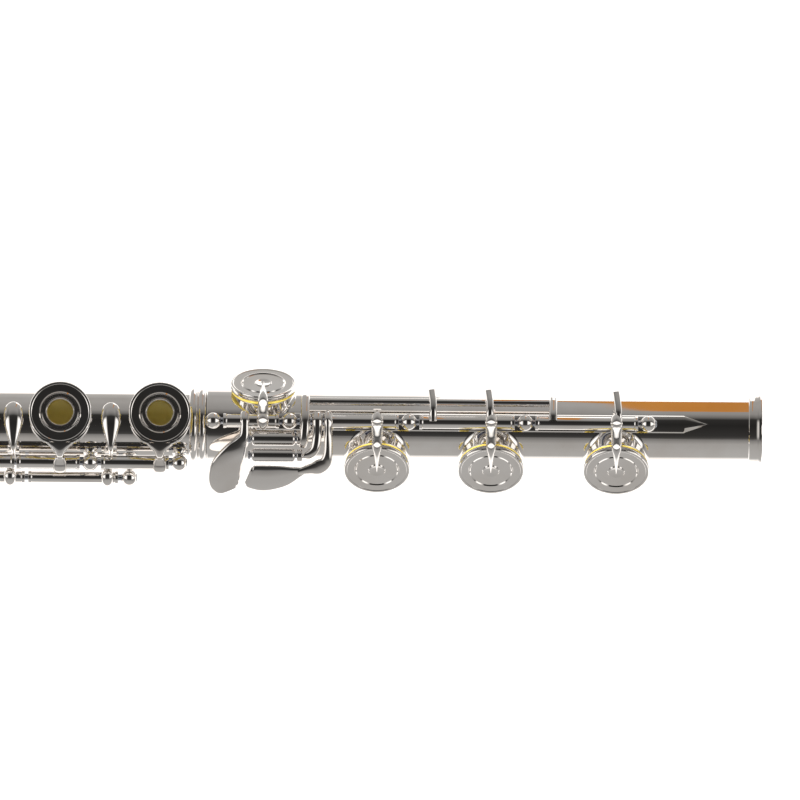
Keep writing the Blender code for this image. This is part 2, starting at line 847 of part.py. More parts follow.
def dsharp_foot_key():
    key = Key("foot_dsharp_key", FOOT_ROD, 0.0)
    key.sleeve(534.2, 551.2)
    key.cup(LOW_DSHARP, "foot_dsharp_pad")
    x = 539.2
    key.bar([FOOT_ROD.at(x), (x, -6.5, 15.2), (538.2, -10.5, 12.9)], [1.4, 1.3, 1.1])
    key.plate(paddle(4.1, 7.6), 1.3, level((536.2, -14.8, 10.6), 24.0))
    key.bore(534.2, 551.2)
    key.finish()


def csharp_foot_key():
    key = Key("foot_csharp_key", FOOT_ROD, OPEN_FOOT)
    key.sleeve(564.8, 586.8)
    key.cup(LOW_CSHARP, "foot_csharp_pad")
    x = 566.2
    arm = [FOOT_ROD.at(x), (x, -9.5, 15.4), (x, -15.4, 11.6), (x - 1.6, -18.0, 8.2), (557.6, -18.6, 6.9)]
    key.bar(arm, [1.3, 1.2, 1.2, 1.2, 1.0])
    key.plate(paddle(10.0, 3.3, 0.45), 1.3, level((551.4, -18.6, 6.7), 24.0))
    key.bore(564.8, 586.8)
    key.finish()


def c_foot_key():
    """Its shaft runs the length of the foot, inside the C sharp and B keys' tubes."""
    key = Key("foot_c_key", FOOT_ROD, OPEN_FOOT)
    key.sleeve(555.0, 663.6, SHAFT)
    key.sleeve(561.1, 564.2)
    key.sleeve(592.9, 621.3)
    key.cup(LOW_C, "foot_c_pad")
    y, z = C_ROLLER
    key.bar([FOOT_ROD.at(562.6), (562.6, -8.4, 16.0), (561.4, -13.0, 13.0), (557.8, y, z)], [1.4, 1.2, 1.1, 1.0])
    roller_axle(key, C_ROLLER)
    for x in (597.0, 613.9):
        key.bar([FOOT_ROD.at(x), (x, 0.2, 17.8), (x, 5.0, 18.2)], [1.3, 1.0, 0.8])
    pivot = key.finish()
    roller("c_roller", pivot, C_ROLLER)


def b_foot_key():
    """Its roller turns the cup through a bridge that passes over the keys between them."""
    key = Key("foot_b_key", FOOT_ROD, OPEN_FOOT)
    key.sleeve(627.4, 658.0)
    key.sleeve(557.4, 560.5)
    key.cup(LOW_B, "foot_b_pad")
    y, z = B_ROLLER
    key.bar([FOOT_ROD.at(558.9), (558.9, -6.0, 15.7), (557.8, y, z)], [1.4, 1.2, 1.0])
    roller_axle(key, B_ROLLER)
    key.add(cylinder(key.label("bridge"), BRIDGE_ROD.at(557.9), BRIDGE_ROD.at(633.9), BRIDGE_TUBE))
    for x in (559.0, 632.7):
        key.bar([FOOT_ROD.at(x), BRIDGE_ROD.at(x)], [1.4, 1.3])
    key.bar([FOOT_ROD.at(652.1), (652.1, 0.2, 17.2), (652.1, 5.0, 17.6)], [1.3, 1.0, 0.8])
    key.bore(557.4, 658.0)
    pivot = key.finish()
    roller("b_roller", pivot, B_ROLLER)


head_joint()
crown_and_stopper()
body_tube()
foot_tube()
rings()
ribs_and_steels()
main_keys()
gsharp_key()
thumb_key()
trill_keys()
dsharp_foot_key()
csharp_foot_key()
c_foot_key()
b_foot_key()
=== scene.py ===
"""The looks of a concert flute: every CAD node is replaced by a finely shaped piece that rides its body.

Lengths are in millimetres in the functions below, and MM turns them into the frame's metres. An
angle round the tube, called "turn", is in degrees from +Z towards the player at -Y. A key is shaped
closed, as it lies on its tone hole, and then turned about its joint to where the frame holds it.
"""

import json
import math

import bmesh
import bpy
from mathutils import Matrix, Vector


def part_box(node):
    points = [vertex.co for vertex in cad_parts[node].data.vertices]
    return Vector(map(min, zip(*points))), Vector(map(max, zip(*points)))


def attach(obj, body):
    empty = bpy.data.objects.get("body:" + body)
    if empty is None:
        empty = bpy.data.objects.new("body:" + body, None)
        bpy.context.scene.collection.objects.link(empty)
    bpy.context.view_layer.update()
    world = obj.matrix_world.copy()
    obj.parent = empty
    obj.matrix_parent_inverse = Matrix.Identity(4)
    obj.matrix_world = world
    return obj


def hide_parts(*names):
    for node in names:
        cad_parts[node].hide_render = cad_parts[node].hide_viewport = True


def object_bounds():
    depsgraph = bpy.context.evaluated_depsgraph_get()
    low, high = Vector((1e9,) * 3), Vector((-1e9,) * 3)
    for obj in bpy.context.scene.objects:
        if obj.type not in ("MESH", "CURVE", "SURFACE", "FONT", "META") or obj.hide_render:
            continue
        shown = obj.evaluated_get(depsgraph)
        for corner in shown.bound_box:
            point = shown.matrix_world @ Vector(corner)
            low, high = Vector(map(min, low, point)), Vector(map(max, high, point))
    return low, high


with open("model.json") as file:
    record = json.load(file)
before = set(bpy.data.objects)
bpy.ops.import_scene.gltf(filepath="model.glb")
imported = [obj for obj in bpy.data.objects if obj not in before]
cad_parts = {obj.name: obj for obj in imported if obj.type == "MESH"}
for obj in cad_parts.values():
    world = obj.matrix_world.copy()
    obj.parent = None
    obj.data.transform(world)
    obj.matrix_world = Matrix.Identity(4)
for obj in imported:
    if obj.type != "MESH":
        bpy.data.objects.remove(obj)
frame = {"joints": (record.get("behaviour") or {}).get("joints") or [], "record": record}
CAD_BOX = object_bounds()
MM = 0.001

# Sizes that the frame's boxes don't state. From the flute's axis: the tube, a tone hole's rim, the
# ribs and the posts' feet. The radii of hinge tubes, shafts and post balls follow.
TUBE, BORE, RIM = 9.9, 9.5, 11.4
RIB_FOOT, RIB_TOP, NOTCH_RADIUS = 9.85, 10.88, 10.05
POST_FOOT, RECEIVER_POST_FOOT = 10.7, 12.0
KEY_TUBE, TRILL_TUBE, SHAFT, POST_BALL = 2.0, 1.7, 0.95, 2.45
# A chimney's wall, how far a cup is wider than its hole, and a cup arm's height over the rim
CHIMNEY_WALL, CUP_OVERLAP, ARM_HEIGHT = 0.6, 1.6, 3.62
# Steps round a tube and a smaller turned piece, and the degrees at which an edge shows as sharp
ROUND, FINE = 96, 64
SHARP_ANGLE = 35.0

# Tone holes: the pad that closes each, its turn, its radius, and whether its cup has a finger hole
HOLES = {
    "foot_b_pad": (75.0, 8.1, False),
    "foot_c_pad": (75.0, 8.1, False),
    "foot_csharp_pad": (75.0, 8.1, False),
    "foot_dsharp_pad": (-46.0, 8.1, False),
    "d_pad": (0.0, 7.7, True),
    "e_pad": (0.0, 7.7, True),
    "f_pad": (0.0, 7.7, True),
    "fsharp_pad": (0.0, 7.7, False),
    "lower_g_pad": (0.0, 7.7, False),
    "upper_g_pad": (0.0, 7.7, True),
    "a_pad": (0.0, 7.7, True),
    "bflat_pad": (0.0, 7.3, False),
    "c_pad": (0.0, 7.3, False),
    "small_csharp_pad": (0.0, 3.6, False),
    "gsharp_pad": (-108.0, 6.0, False),
    "thumb_pad": (145.0, 6.8, False),
    "trill_d_pad": (150.0, 3.6, False),
    "trill_dsharp_pad": (150.0, 3.6, False),
}

# The tent's brightness by degrees from the player's horizon over the top, on its walls and at its ends
TENT = [(-180, 0.4), (-158, 0.5), (-148, 1.5), (-60, 1.5), (-40, 0.45), (-5, 0.42), (20, 0.38), (34, 0.24)]
TENT += [(42, 0.06), (50, 0.035), (85, 0.02), (106, 0.03), (115, 0.18), (126, 0.3), (160, 0.38)]
END_TENT = [(-180, 0.4), (-158, 0.5), (-148, 1.4), (-60, 1.4), (-40, 0.42), (10, 0.32), (34, 0.14), (48, 1.3)]
END_TENT += [(98, 1.35), (110, 0.08), (128, 0.16), (146, 0.3), (160, 0.38)]
END_PANEL = (0.45, 0.7)
CARD_Y = 0.6

# The picture: degrees above the horizon, degrees of roll, and metres across the frame
ELEVATION, ROLL, VIEW_WIDTH = 72.0, 0.45, 0.2384

# Where the rollers' axles lie, as (y, z), and the x of each trill key's touch
B_ROLLER = (-8.4, 13.0)
C_ROLLER = (-13.0, 11.2)
TRILL_TOUCHES = {"trill_dsharp_key": 501.2, "trill_d_key": 472.2}
CLOSED_AT_REST = ("gsharp_key", "trill_d_key", "trill_dsharp_key", "foot_dsharp_key")


def span(node):
    """The node's low and high x, in millimetres."""
    low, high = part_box(node)
    return low.x / MM, high.x / MM


def middle(node):
    low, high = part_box(node)
    return (low + high) / 2 / MM


def around(x, turn, radius):
    angle = math.radians(turn)
    return Vector((x, -radius * math.sin(angle), radius * math.cos(angle)))


JOINTS = {joint["child"]: joint for joint in frame["joints"]}


def rod_of(body):
    """The hinge line of a key as (y, z)."""
    _, y, z = JOINTS[body]["pos_m"]
    return y / MM, z / MM


def resting_turn(body):
    """Degrees about +X from the closed place to the resting one."""
    if body not in JOINTS or body in CLOSED_AT_REST or "key" not in body:
        return 0.0
    joint = JOINTS[body]
    return -joint["axis"][0] * joint["range_deg"][1]


# ---------------------------------------------------------------- materials


def new_material(name, base, metallic, roughness):
    made = bpy.data.materials.new(name)
    made.use_nodes = True
    shader = made.node_tree.nodes["Principled BSDF"]
    shader.inputs["Base Color"].default_value = (*base, 1.0)
    shader.inputs["Metallic"].default_value = metallic
    shader.inputs["Roughness"].default_value = roughness
    return made, made.node_tree, shader


def noise(tree, scale, detail=4.0, stretch=(1.0, 1.0, 1.0)):
    """Noise in the object's own space, in features per metre."""
    place = tree.nodes.new("ShaderNodeTexCoord")
    mapping = tree.nodes.new("ShaderNodeMapping")
    mapping.inputs["Scale"].default_value = stretch
    texture = tree.nodes.new("ShaderNodeTexNoise")
    texture.inputs["Scale"].default_value = scale
    texture.inputs["Detail"].default_value = detail
    tree.links.new(place.outputs["Object"], mapping.inputs["Vector"])
    tree.links.new(mapping.outputs["Vector"], texture.inputs["Vector"])
    return texture.outputs["Fac"]


def ramp(tree, factor, stops):
    node = tree.nodes.new("ShaderNodeValToRGB")
    node.color_ramp.elements[0].position = stops[0][0]
    node.color_ramp.elements[0].color = (*stops[0][1], 1.0)
    node.color_ramp.elements[1].position = stops[-1][0]
    node.color_ramp.elements[1].color = (*stops[-1][1], 1.0)
    for position, colour in stops[1:-1]:
        node.color_ramp.elements.new(position).color = (*colour, 1.0)
    tree.links.new(factor, node.inputs["Fac"])
    return node.outputs["Color"]


def spread(tree, factor, low, high, limits=(0.0, 1.0)):
    node = tree.nodes.new("ShaderNodeMapRange")
    node.inputs["From Min"].default_value, node.inputs["From Max"].default_value = limits
    node.inputs["To Min"].default_value = low
    node.inputs["To Max"].default_value = high
    tree.links.new(factor, node.inputs["Value"])
    return node.outputs["Result"]


def bump(tree, shader, height, strength, distance):
    node = tree.nodes.new("ShaderNodeBump")
    node.inputs["Strength"].default_value = strength
    node.inputs["Distance"].default_value = distance
    tree.links.new(height, node.inputs["Height"])
    tree.links.new(node.outputs["Normal"], shader.inputs["Normal"])


def silver_plate(name, light, dark, rough, metallic=1.0):
    """Polished plate: cloudy tone from handling, and fine polishing lines along the tube."""
    made, tree, shader = new_material(name, light, metallic, rough[0])
    tree.links.new(ramp(tree, noise(tree, 60.0), [(0.35, dark), (0.62, light)]), shader.inputs["Base Color"])
    tree.links.new(spread(tree, noise(tree, 150.0, 6.0), *rough), shader.inputs["Roughness"])
    bump(tree, shader, noise(tree, 900.0, 3.0, (0.15, 1.0, 1.0)), 0.02, 0.00002)
    return made


def pad_skin():
    made, tree, shader = new_material("pad_skin", (0.8, 0.68, 0.34), 0.0, 0.5)
    stops = [(0.3, (0.62, 0.45, 0.08)), (0.55, (0.82, 0.64, 0.14)), (0.75, (0.9, 0.76, 0.26))]
    tree.links.new(ramp(tree, noise(tree, 400.0, 6.0), stops), shader.inputs["Base Color"])
    tree.links.new(spread(tree, noise(tree, 900.0), 0.35, 0.6), shader.inputs["Roughness"])
    bump(tree, shader, noise(tree, 1600.0, 5.0), 0.3, 0.0001)
    return made


def cork_bark():
    made, tree, shader = new_material("cork_bark", (0.55, 0.36, 0.2), 0.0, 0.85)
    stops = [(0.3, (0.28, 0.15, 0.07)), (0.5, (0.6, 0.4, 0.22)), (0.7, (0.72, 0.52, 0.32))]
    tree.links.new(ramp(tree, noise(tree, 700.0, 8.0), stops), shader.inputs["Base Color"])
    bump(tree, shader, noise(tree, 1200.0, 6.0), 0.5, 0.0002)
    return made


def studio_floor():
    made, tree, shader = new_material("studio_floor", (0.93, 0.93, 0.93), 0.0, 0.75)
    stops = [(0.3, (0.915, 0.915, 0.915)), (0.7, (0.945, 0.945, 0.945))]
    tree.links.new(ramp(tree, noise(tree, 3.0), stops), shader.inputs["Base Color"])
    return made


MATERIALS = {
    "silver": silver_plate("silver_plate", (0.93, 0.905, 0.88), (0.86, 0.82, 0.78), (0.025, 0.075)),
    # The bore's own yellow tone, made lighter than it is so that the inside of the tube, seen through the
    # holes, looks lit: partly painted light
    "bore": silver_plate("bore_silver_with_painted_light", (0.95, 0.88, 0.5), (0.8, 0.72, 0.36), (0.3, 0.5), 0.35),
    "steel": silver_plate("spring_steel", (0.6, 0.61, 0.64), (0.45, 0.47, 0.52), (0.16, 0.3)),
    "blued": silver_plate("blued_needle", (0.16, 0.18, 0.26), (0.08, 0.09, 0.14), (0.2, 0.3)),
    "roller": silver_plate("roller_silver", (0.9, 0.88, 0.86), (0.8, 0.77, 0.74), (0.06, 0.16)),
    "pad": pad_skin(),
    "cork": cork_bark(),
}


# ---------------------------------------------------------------- mesh blocks


def fillet(points, radius, closed=False, steps=4):
    """The outline with each inner corner rounded."""
    made = []
    count = len(points)
    for i, here in enumerate(points):
        if not closed and i in (0, count - 1):
            made.append(Vector(here))
            continue
        here = Vector(here)
        before = Vector(points[i - 1]) - here
        after = Vector(points[(i + 1) % count]) - here
        reach = min(radius, 0.45 * before.length, 0.45 * after.length)
        start, end = here + before.normalized() * reach, here + after.normalized() * reach
        for k in range(steps + 1):
            s = k / steps
            made.append(start * (1 - s) ** 2 + here * 2 * s * (1 - s) + end * s * s)
    return [tuple(point) for point in made]


def piece_of(name, mesh, finish, sharp=SHARP_ANGLE):
    mesh.shade_smooth()
    mesh.set_sharp_from_angle(angle=math.radians(sharp))
    obj = bpy.data.objects.new(name, mesh)
    bpy.context.scene.collection.objects.link(obj)
    mesh.materials.clear()
    mesh.materials.append(MATERIALS[finish])
    return obj


def mesh_object(name, verts, faces, finish, sharp=SHARP_ANGLE):
    mesh = bpy.data.meshes.new(name)
    shape = bmesh.new()
    made = [shape.verts.new(Vector(v) * MM) for v in verts]
    for face in faces:
        corners = [made[i] for i in face]
        if len(set(corners)) > 2:
            try:
                shape.faces.new(dict.fromkeys(corners))
            except ValueError:
                pass
    bmesh.ops.remove_doubles(shape, verts=shape.verts, dist=1e-7)
    bmesh.ops.recalc_face_normals(shape, faces=shape.faces)
    shape.to_mesh(mesh)
    shape.free()
    return piece_of(name, mesh, finish, sharp)


def lathe(name, profile, finish, steps, closed=False):
    """A solid of revolution about Z from (radius, height) points."""
    verts, faces = [], []
    count = len(profile)
    for i in range(steps):
        angle = 2 * math.pi * i / steps
        for radius, height in profile:
            verts.append((radius * math.cos(angle), radius * math.sin(angle), height))
    for i in range(steps):
        j = (i + 1) % steps
        for k in range(count if closed else count - 1):
            n = (k + 1) % count
            faces.append((i * count + k, j * count + k, j * count + n, i * count + n))
    return mesh_object(name, verts, faces, finish)


ALONG_X = Matrix.Rotation(math.radians(90.0), 4, "Y")


def at(location, turn=0.0):
    return Matrix.Translation(Vector(location) * MM) @ Matrix.Rotation(math.radians(turn), 4, "X")


def settle(obj, matrix, body, *nodes, key=None):
    """Puts a piece in place, turns it with its resting key, and hangs it on its body."""
    key = key or body
    turn = resting_turn(key)
    if turn:
        y, z = rod_of(key)
        rod = Matrix.Translation(Vector((0.0, y, z)) * MM)
        matrix = rod @ Matrix.Rotation(math.radians(turn), 4, "X") @ rod.inverted() @ matrix
    obj.data.transform(matrix)
    obj.matrix_world = Matrix.Identity(4)
    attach(obj, body)
    if nodes:
        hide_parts(*nodes)
    return obj


def catmull(points, per_span):
    """A smooth curve through the points, each a tuple of any length."""
    points = [Vector(p) for p in points]
    ends = [points[0] * 2 - points[1], *points, points[-1] * 2 - points[-2]]
    made = []
    for i in range(1, len(ends) - 2):
        a, b, c, d = ends[i - 1 : i + 3]
        for k in range(per_span):
            s = k / per_span
            square, cube = 2 * a - 5 * b + 4 * c - d, 3 * b - a - 3 * c + d
            made.append(0.5 * (2 * b + (c - a) * s + square * s**2 + cube * s**3))
    return [*made, points[-1]]


def round_section(width, flat, ridge):
    """An oval, this flat for its width, with its outer side drawn up to a ridge."""
    points = []
    for k in range(16):
        angle = 2 * math.pi * k / 16
        c, s = math.cos(angle), math.sin(angle)
        points.append((c * width, s * flat * width + (ridge * width * (1 - abs(c)) if s > 0 else 0.0)))
    return points


def plate_section(width, thickness, crown, bend):
    """A flat bar with rounded edges, a crowned top, and its width bent to this radius."""
    half = thickness / 2
    edge = min(half, width) * 0.95
    points = []
    for corner, (across, up) in enumerate(((1, 1), (-1, 1), (-1, -1), (1, -1))):
        for k in range(4):
            angle = math.radians(90 * corner + 30 * k)
            reach, rise = edge * math.cos(angle), edge * math.sin(angle)
            points.append((across * (width - edge) + reach, up * (half - edge) + rise))
        if corner in (0, 2):
            points += [(across * (width - edge) * (1 - k / 4), up * half) for k in range(1, 8)]
    made = []
    for a, u in points:
        u += crown * (1 - (a / width) ** 2) if u > 0 else 0.0
        if bend:
            a, u = (bend + u) * math.sin(a / bend), (bend + u) * math.cos(a / bend) - bend
        made.append((a, u))
    return made


def loft(name, knots, finish, section, side, per_span=6):
    """A bar through knots of (x, y, z, half_width). Section gives the outline for a half width, as
    (across, outward) points, and side is the direction of the width."""
    points = catmull([k[:3] for k in knots], per_span)
    widths = [w.x for w in catmull([(k[3], 0.0) for k in knots], per_span)]
    side = Vector(side).normalized()
    frames = []
    for i, point in enumerate(points):
        forward = (points[min(i + 1, len(points) - 1)] - points[max(i - 1, 0)]).normalized()
        across = (side - forward * side.dot(forward)).normalized()
        frames.append((point, across, across.cross(forward)))
    outward = sum(up.dot(Vector((0.0, point.y, point.z)).normalized()) for point, _, up in frames)
    sign = 1.0 if outward > 0 else -1.0
    verts, faces = [], []
    for (point, across, up), width in zip(frames, widths):
        verts += [point + across * a + up * u * sign for a, u in section(max(width, 0.05))]
    steps = len(verts) // len(points)
    for i in range(len(points) - 1):
        for k in range(steps):
            n = (k + 1) % steps
            faces.append((i * steps + k, i * steps + n, (i + 1) * steps + n, (i + 1) * steps + k))
    faces.append(tuple(range(steps)))
    faces.append(tuple(range((len(points) - 1) * steps, len(points) * steps)))
    return mesh_object(name, verts, faces, finish, 50.0)


def round_bar(name, knots, finish="silver", flat=0.8, ridge=0.0, side=(1.0, 0.0, 0.0), per_span=6):
    return loft(name, knots, finish, lambda width: round_section(width, flat, ridge), side, per_span)


def flat_bar(name, knots, thickness, crown, bend=0.0, side=(1.0, 0.0, 0.0)):
    def section(width):
        return plate_section(width, thickness, crown, bend)

    return loft(name, knots, "silver", section, side)


def slab(name, outline, thickness, finish, edge=0.35):
    """A flat plate in the XY plane with this outline and rounded edges."""
    curve = bpy.data.curves.new(name, "CURVE")
    curve.dimensions = "2D"
    curve.fill_mode = "BOTH"
    curve.extrude = (thickness / 2 - edge) * MM
    curve.bevel_depth = edge * MM
    curve.bevel_resolution = 3
    curve.offset = -edge * MM
    spline = curve.splines.new("POLY")
    spline.points.add(len(outline) - 1)
    for knot, (x, y) in zip(spline.points, outline):
        knot.co = (x * MM, y * MM, 0.0, 1.0)
    spline.use_cyclic_u = True
    guide = bpy.data.objects.new(name + "_guide", curve)
    bpy.context.scene.collection.objects.link(guide)
    mesh = bpy.data.meshes.new_from_object(guide.evaluated_get(bpy.context.evaluated_depsgraph_get()))
    bpy.data.objects.remove(guide)
    shape = bmesh.new()
    shape.from_mesh(mesh)
    bmesh.ops.remove_doubles(shape, verts=shape.verts, dist=1e-6)
    shape.to_mesh(mesh)
    shape.free()
    return piece_of(name, mesh, finish)


def solid_rod(name, radius, x_from, x_to, finish):
    profile = [(0.0, x_from), (radius, x_from), (radius, x_to), (0.0, x_to)]
    return lathe(name, fillet(profile, 0.25, steps=3), finish, 32)


def paddle(half_width, half_length):
    """An oval drawn out towards its corners."""
    points = []
    for i in range(48):
        angle = 2 * math.pi * i / 48
        across, up = math.cos(angle), math.sin(angle)
        across = math.copysign(abs(across) ** 0.75, across)
        up = math.copysign(abs(up) ** 0.75, up)
        points.append((half_width * across, half_length * up))
    return points


# ---------------------------------------------------------------- tubes


def subtract(tube, tool):
    modifier = tube.modifiers.new("hole", "BOOLEAN")
    modifier.operation = "DIFFERENCE"
    modifier.object = tool
    bpy.context.view_layer.update()
    mesh = bpy.data.meshes.new_from_object(tube.evaluated_get(bpy.context.evaluated_depsgraph_get()))
    tube.modifiers.clear()
    tube.data = mesh
    bpy.data.objects.remove(tool)


def cut_holes(tube, pads):
    """Opens the tube under each chimney."""
    for pad in pads:
        turn, radius, _ = HOLES[pad]
        outline = [(0.0, 3.0), (radius, 3.0), (radius, 14.0), (0.0, 14.0)]
        tool = lathe(pad + "_cutter", outline, "silver", 48)
        tool.matrix_world = at((middle(pad).x, 0.0, 0.0), turn)
        subtract(tube, tool)
    tube.data.set_sharp_from_angle(angle=math.radians(SHARP_ANGLE))


def chimney(pad, body):
    """A drawn tone hole: it flares out of the tube and ends in a rolled rim."""
    turn, radius, _ = HOLES[pad]
    outer = radius + CHIMNEY_WALL
    flare = 1.3
    verts, faces = [], []
    rows = []
    for angle_index in range(FINE):
        angle = 2 * math.pi * angle_index / FINE
        c, s = math.cos(angle), math.sin(angle)

        def surface(reach, tube):
            return math.sqrt(max(tube**2 - (reach * s) ** 2, 0.0))

        column = []
        for k in range(6):
            lean = math.radians(90.0 * k / 5)
            reach = outer + flare * (1 - math.sin(lean))
            low = surface(reach, TUBE - 0.03)
            column.append((reach, low + min(flare * (1 - math.cos(lean)), RIM - 0.5 - low)))
        column.append((outer, RIM - 0.45))
        for k in range(7):
            roll = math.pi * k / 6
            column.append((outer - 0.3 + 0.32 * math.cos(roll), RIM - 0.3 + 0.3 * math.sin(roll)))
        column.append((radius, RIM - 0.6))
        column.append((radius, surface(radius, BORE + 0.1)))
        rows.append([(reach * c, reach * s, height) for reach, height in column])
    count = len(rows[0])
    for row in rows:
        verts.extend(row)
    for i in range(FINE):
        j = (i + 1) % FINE
        for k in range(count - 1):
            faces.append((i * count + k, j * count + k, j * count + k + 1, i * count + k + 1))
    obj = mesh_object(pad.replace("_pad", "_chimney"), verts, faces, "silver", 60.0)
    return settle(obj, at((middle(pad).x, 0.0, 0.0), turn), body)


def wall(name, outside, inside, body, node, pads):
    """A tube drawn to this outside and inside, each a list of (radius, x)."""
    tube = lathe(name, [*outside, *reversed(inside)], "silver", ROUND, closed=True)
    tube.matrix_world = ALONG_X
    cut_holes(tube, pads)
    # The inside of the tube takes the bore's tone, lightened as painted light
    tube.data.materials.append(MATERIALS["bore"])
    for face in tube.data.polygons:
        centre = tube.matrix_world @ face.center / MM
        if math.hypot(centre.y, centre.z) < BORE + 0.12 and abs(face.normal.z) < 0.5:
            face.material_index = 1
    settle(tube, ALONG_X, body, node)
    for pad in pads:
        chimney(pad, body)


def body_and_foot_tubes():
    low, high = span("body_tube")
    pads = [pad for pad in HOLES if not pad.startswith("foot")]
    wall("body_wall", [(TUBE, low), (TUBE, high)], [(BORE, low), (BORE, high)], "body", "body_tube", pads)
    low, high = span("foot_tube")
    step = span("body_tube")[1] + 0.3
    outside = fillet([(TUBE + 1.1, low), (TUBE + 1.1, low + 12.0), (TUBE, low + 13.4), (TUBE, high)], 0.8)
    inside = [(TUBE + 0.3, low), (TUBE + 0.3, step), (BORE, step), (BORE, high)]
    foot_pads = [pad for pad in HOLES if pad.startswith("foot")]
    wall("foot_wall", outside, inside, "foot", "foot_tube", foot_pads)


def bead_ring(name, node, body, inner, outer, beads):
    """A ring along the tube whose outside swells into beads, each lower than the last."""
    low, high = span(node)
    outside = []
    steps = 10 * beads
    for i in range(steps + 1):
        s = i / steps
        swell = abs(math.sin(math.pi * beads * s)) ** 0.6
        outside.append((outer - 0.75 - 0.5 * s + 0.75 * swell, low + (high - low) * s))
    ring = lathe(name, [*outside, (inner, high), (inner, low)], "silver", ROUND, closed=True)
    return settle(ring, ALONG_X, body, node)


def rings():
    bead_ring("socket_band", "socket_ring", "foot", TUBE + 0.05, TUBE + 1.9, 2)
    low, high = span("end_ring")
    flare = [(0.35, low), (0.55, low + 0.2), (0.45, low + 0.7), (0.48, low + 1.5), (0.75, high - 1.2)]
    flare += [(1.0, high - 0.7), (1.0, high - 0.2), (0.85, high), (-0.4, high), (-0.4, high - 0.5)]
    profile = [(TUBE + rise, x) for rise, x in [*flare, (0.02, high - 0.5), (0.02, low)]]
    settle(lathe("end_flare", profile, "silver", ROUND, closed=True), ALONG_X, "foot", "end_ring")
    low, high = span("barrel")
    shoulder, band = TUBE + 1.5, TUBE + 2.6
    outside = [(shoulder - 0.4, low), (shoulder, low + 0.2)]
    for start in (low + 0.6, high - 4.0):
        for i in range(13):
            s = i / 12
            lift = (band - shoulder) * abs(math.sin(2 * math.pi * s)) ** 0.6
            outside.append((shoulder + lift, start + 3.4 * s))
    outside += [(shoulder, high - 0.2), (shoulder - 0.4, high)]
    profile = [*outside, (TUBE + 0.02, high), (TUBE + 0.02, low)]
    barrel = lathe("barrel_sleeve", profile, "silver", ROUND, closed=True)
    settle(barrel, ALONG_X, "body", "barrel")


# ---------------------------------------------------------------- head joint


def superellipse(a, b, power, count=96):
    made = []
    for i in range(count):
        angle = 2 * math.pi * i / count
        c, s = math.cos(angle), math.sin(angle)
        r = (abs(c) ** power + abs(s) ** power) ** (-1 / power)
        made.append((a * r * c, b * r * s))
    return made


def layered(name, rings_of_points, finish):
    """Faces between successive closed rings, and back from the last ring to the first."""
    verts, faces = [], []
    count = len(rings_of_points[0])
    for ring in rings_of_points:
        verts.extend(ring)
    total = len(rings_of_points)
    for i in range(total):
        j = (i + 1) % total
        for k in range(count):
            n = (k + 1) % count
            faces.append((i * count + k, i * count + n, j * count + n, j * count + k))
    return mesh_object(name, verts, faces, finish, 45.0)


def head_joint():
    low, high = span("head_tube")
    cork = span("stopper_cork")[1]
    tenon, tip = 9.85, 8.95
    outside = [(tip, low), (tip, cork), ((tip + tenon) / 2 + 0.1, 150.0), (tenon, high)]
    inside = [(radius - 0.4, x) for radius, x in outside]
    tube = lathe("head_wall", [*outside, *reversed(inside)], "silver", ROUND, closed=True)
    tube.matrix_world = ALONG_X
    mouth_x = middle("lip_plate").x
    mouth = superellipse(6.1, 5.1, 2.6, 48)
    tool = slab("mouth_cutter", mouth, 20.0, "silver", 0.01)
    tool.matrix_world = at((mouth_x, 0.0, 14.0))
    subtract(tube, tool)
    tube.data.set_sharp_from_angle(angle=math.radians(SHARP_ANGLE))
    settle(tube, ALONG_X, "head", "head_tube")
    lip_plate(mouth_x)
    crown_and_stopper()


def lip_plate(mouth_x):
    """An oval shell round the tube with a chimney under its mouth hole."""
    top = 13.85
    half_x, half_y = 30.8, 11.9

    def ring(a, b, power, radius):
        made = []
        for x, y in superellipse(a, b, power):
            y = max(-radius * 0.98, min(radius * 0.98, y))
            made.append((x, y, math.sqrt(radius**2 - y**2)))
        return made

    rows = [ring(6.1, 5.1, 2.6, top - 0.5), ring(6.25, 5.25, 2.6, top - 0.15), ring(6.7, 5.7, 2.5, top)]
    for i in range(1, 15):
        s = i / 14
        a, b = 6.7 + (half_x - 7.0) * s, 5.7 + (half_y - 6.0) * s
        rows.append(ring(a, b, 2.5 - 0.4 * s, top - 0.12 * s * s))
    rows.append(ring(half_x, half_y, 2.1, top - 0.45))
    rows.append(ring(half_x - 0.3, half_y - 0.3, 2.1, top - 0.85))
    rows.append(ring(6.9, 5.9, 2.5, top - 0.85))
    rows.append(ring(6.1, 5.1, 2.6, top - 0.85))
    plate = layered("lip_plate_shell", rows, "silver")
    settle(plate, at((mouth_x, 0.0, 0.0)), "head", "lip_plate")
    rows = []
    for grow, radius in ((1.6, 9.05), (1.1, 9.7), (0.9, 11.0), (1.1, 12.4), (1.6, 13.05)):
        rows.append(ring(6.1 + grow, 5.1 + grow, 2.5, radius))
    for radius in (13.05, 9.0):
        rows.append(ring(6.1, 5.1, 2.6, radius))
    riser = layered("riser_wall", rows, "silver")
    settle(riser, at((mouth_x, 0.0, 0.0)), "head", "riser")


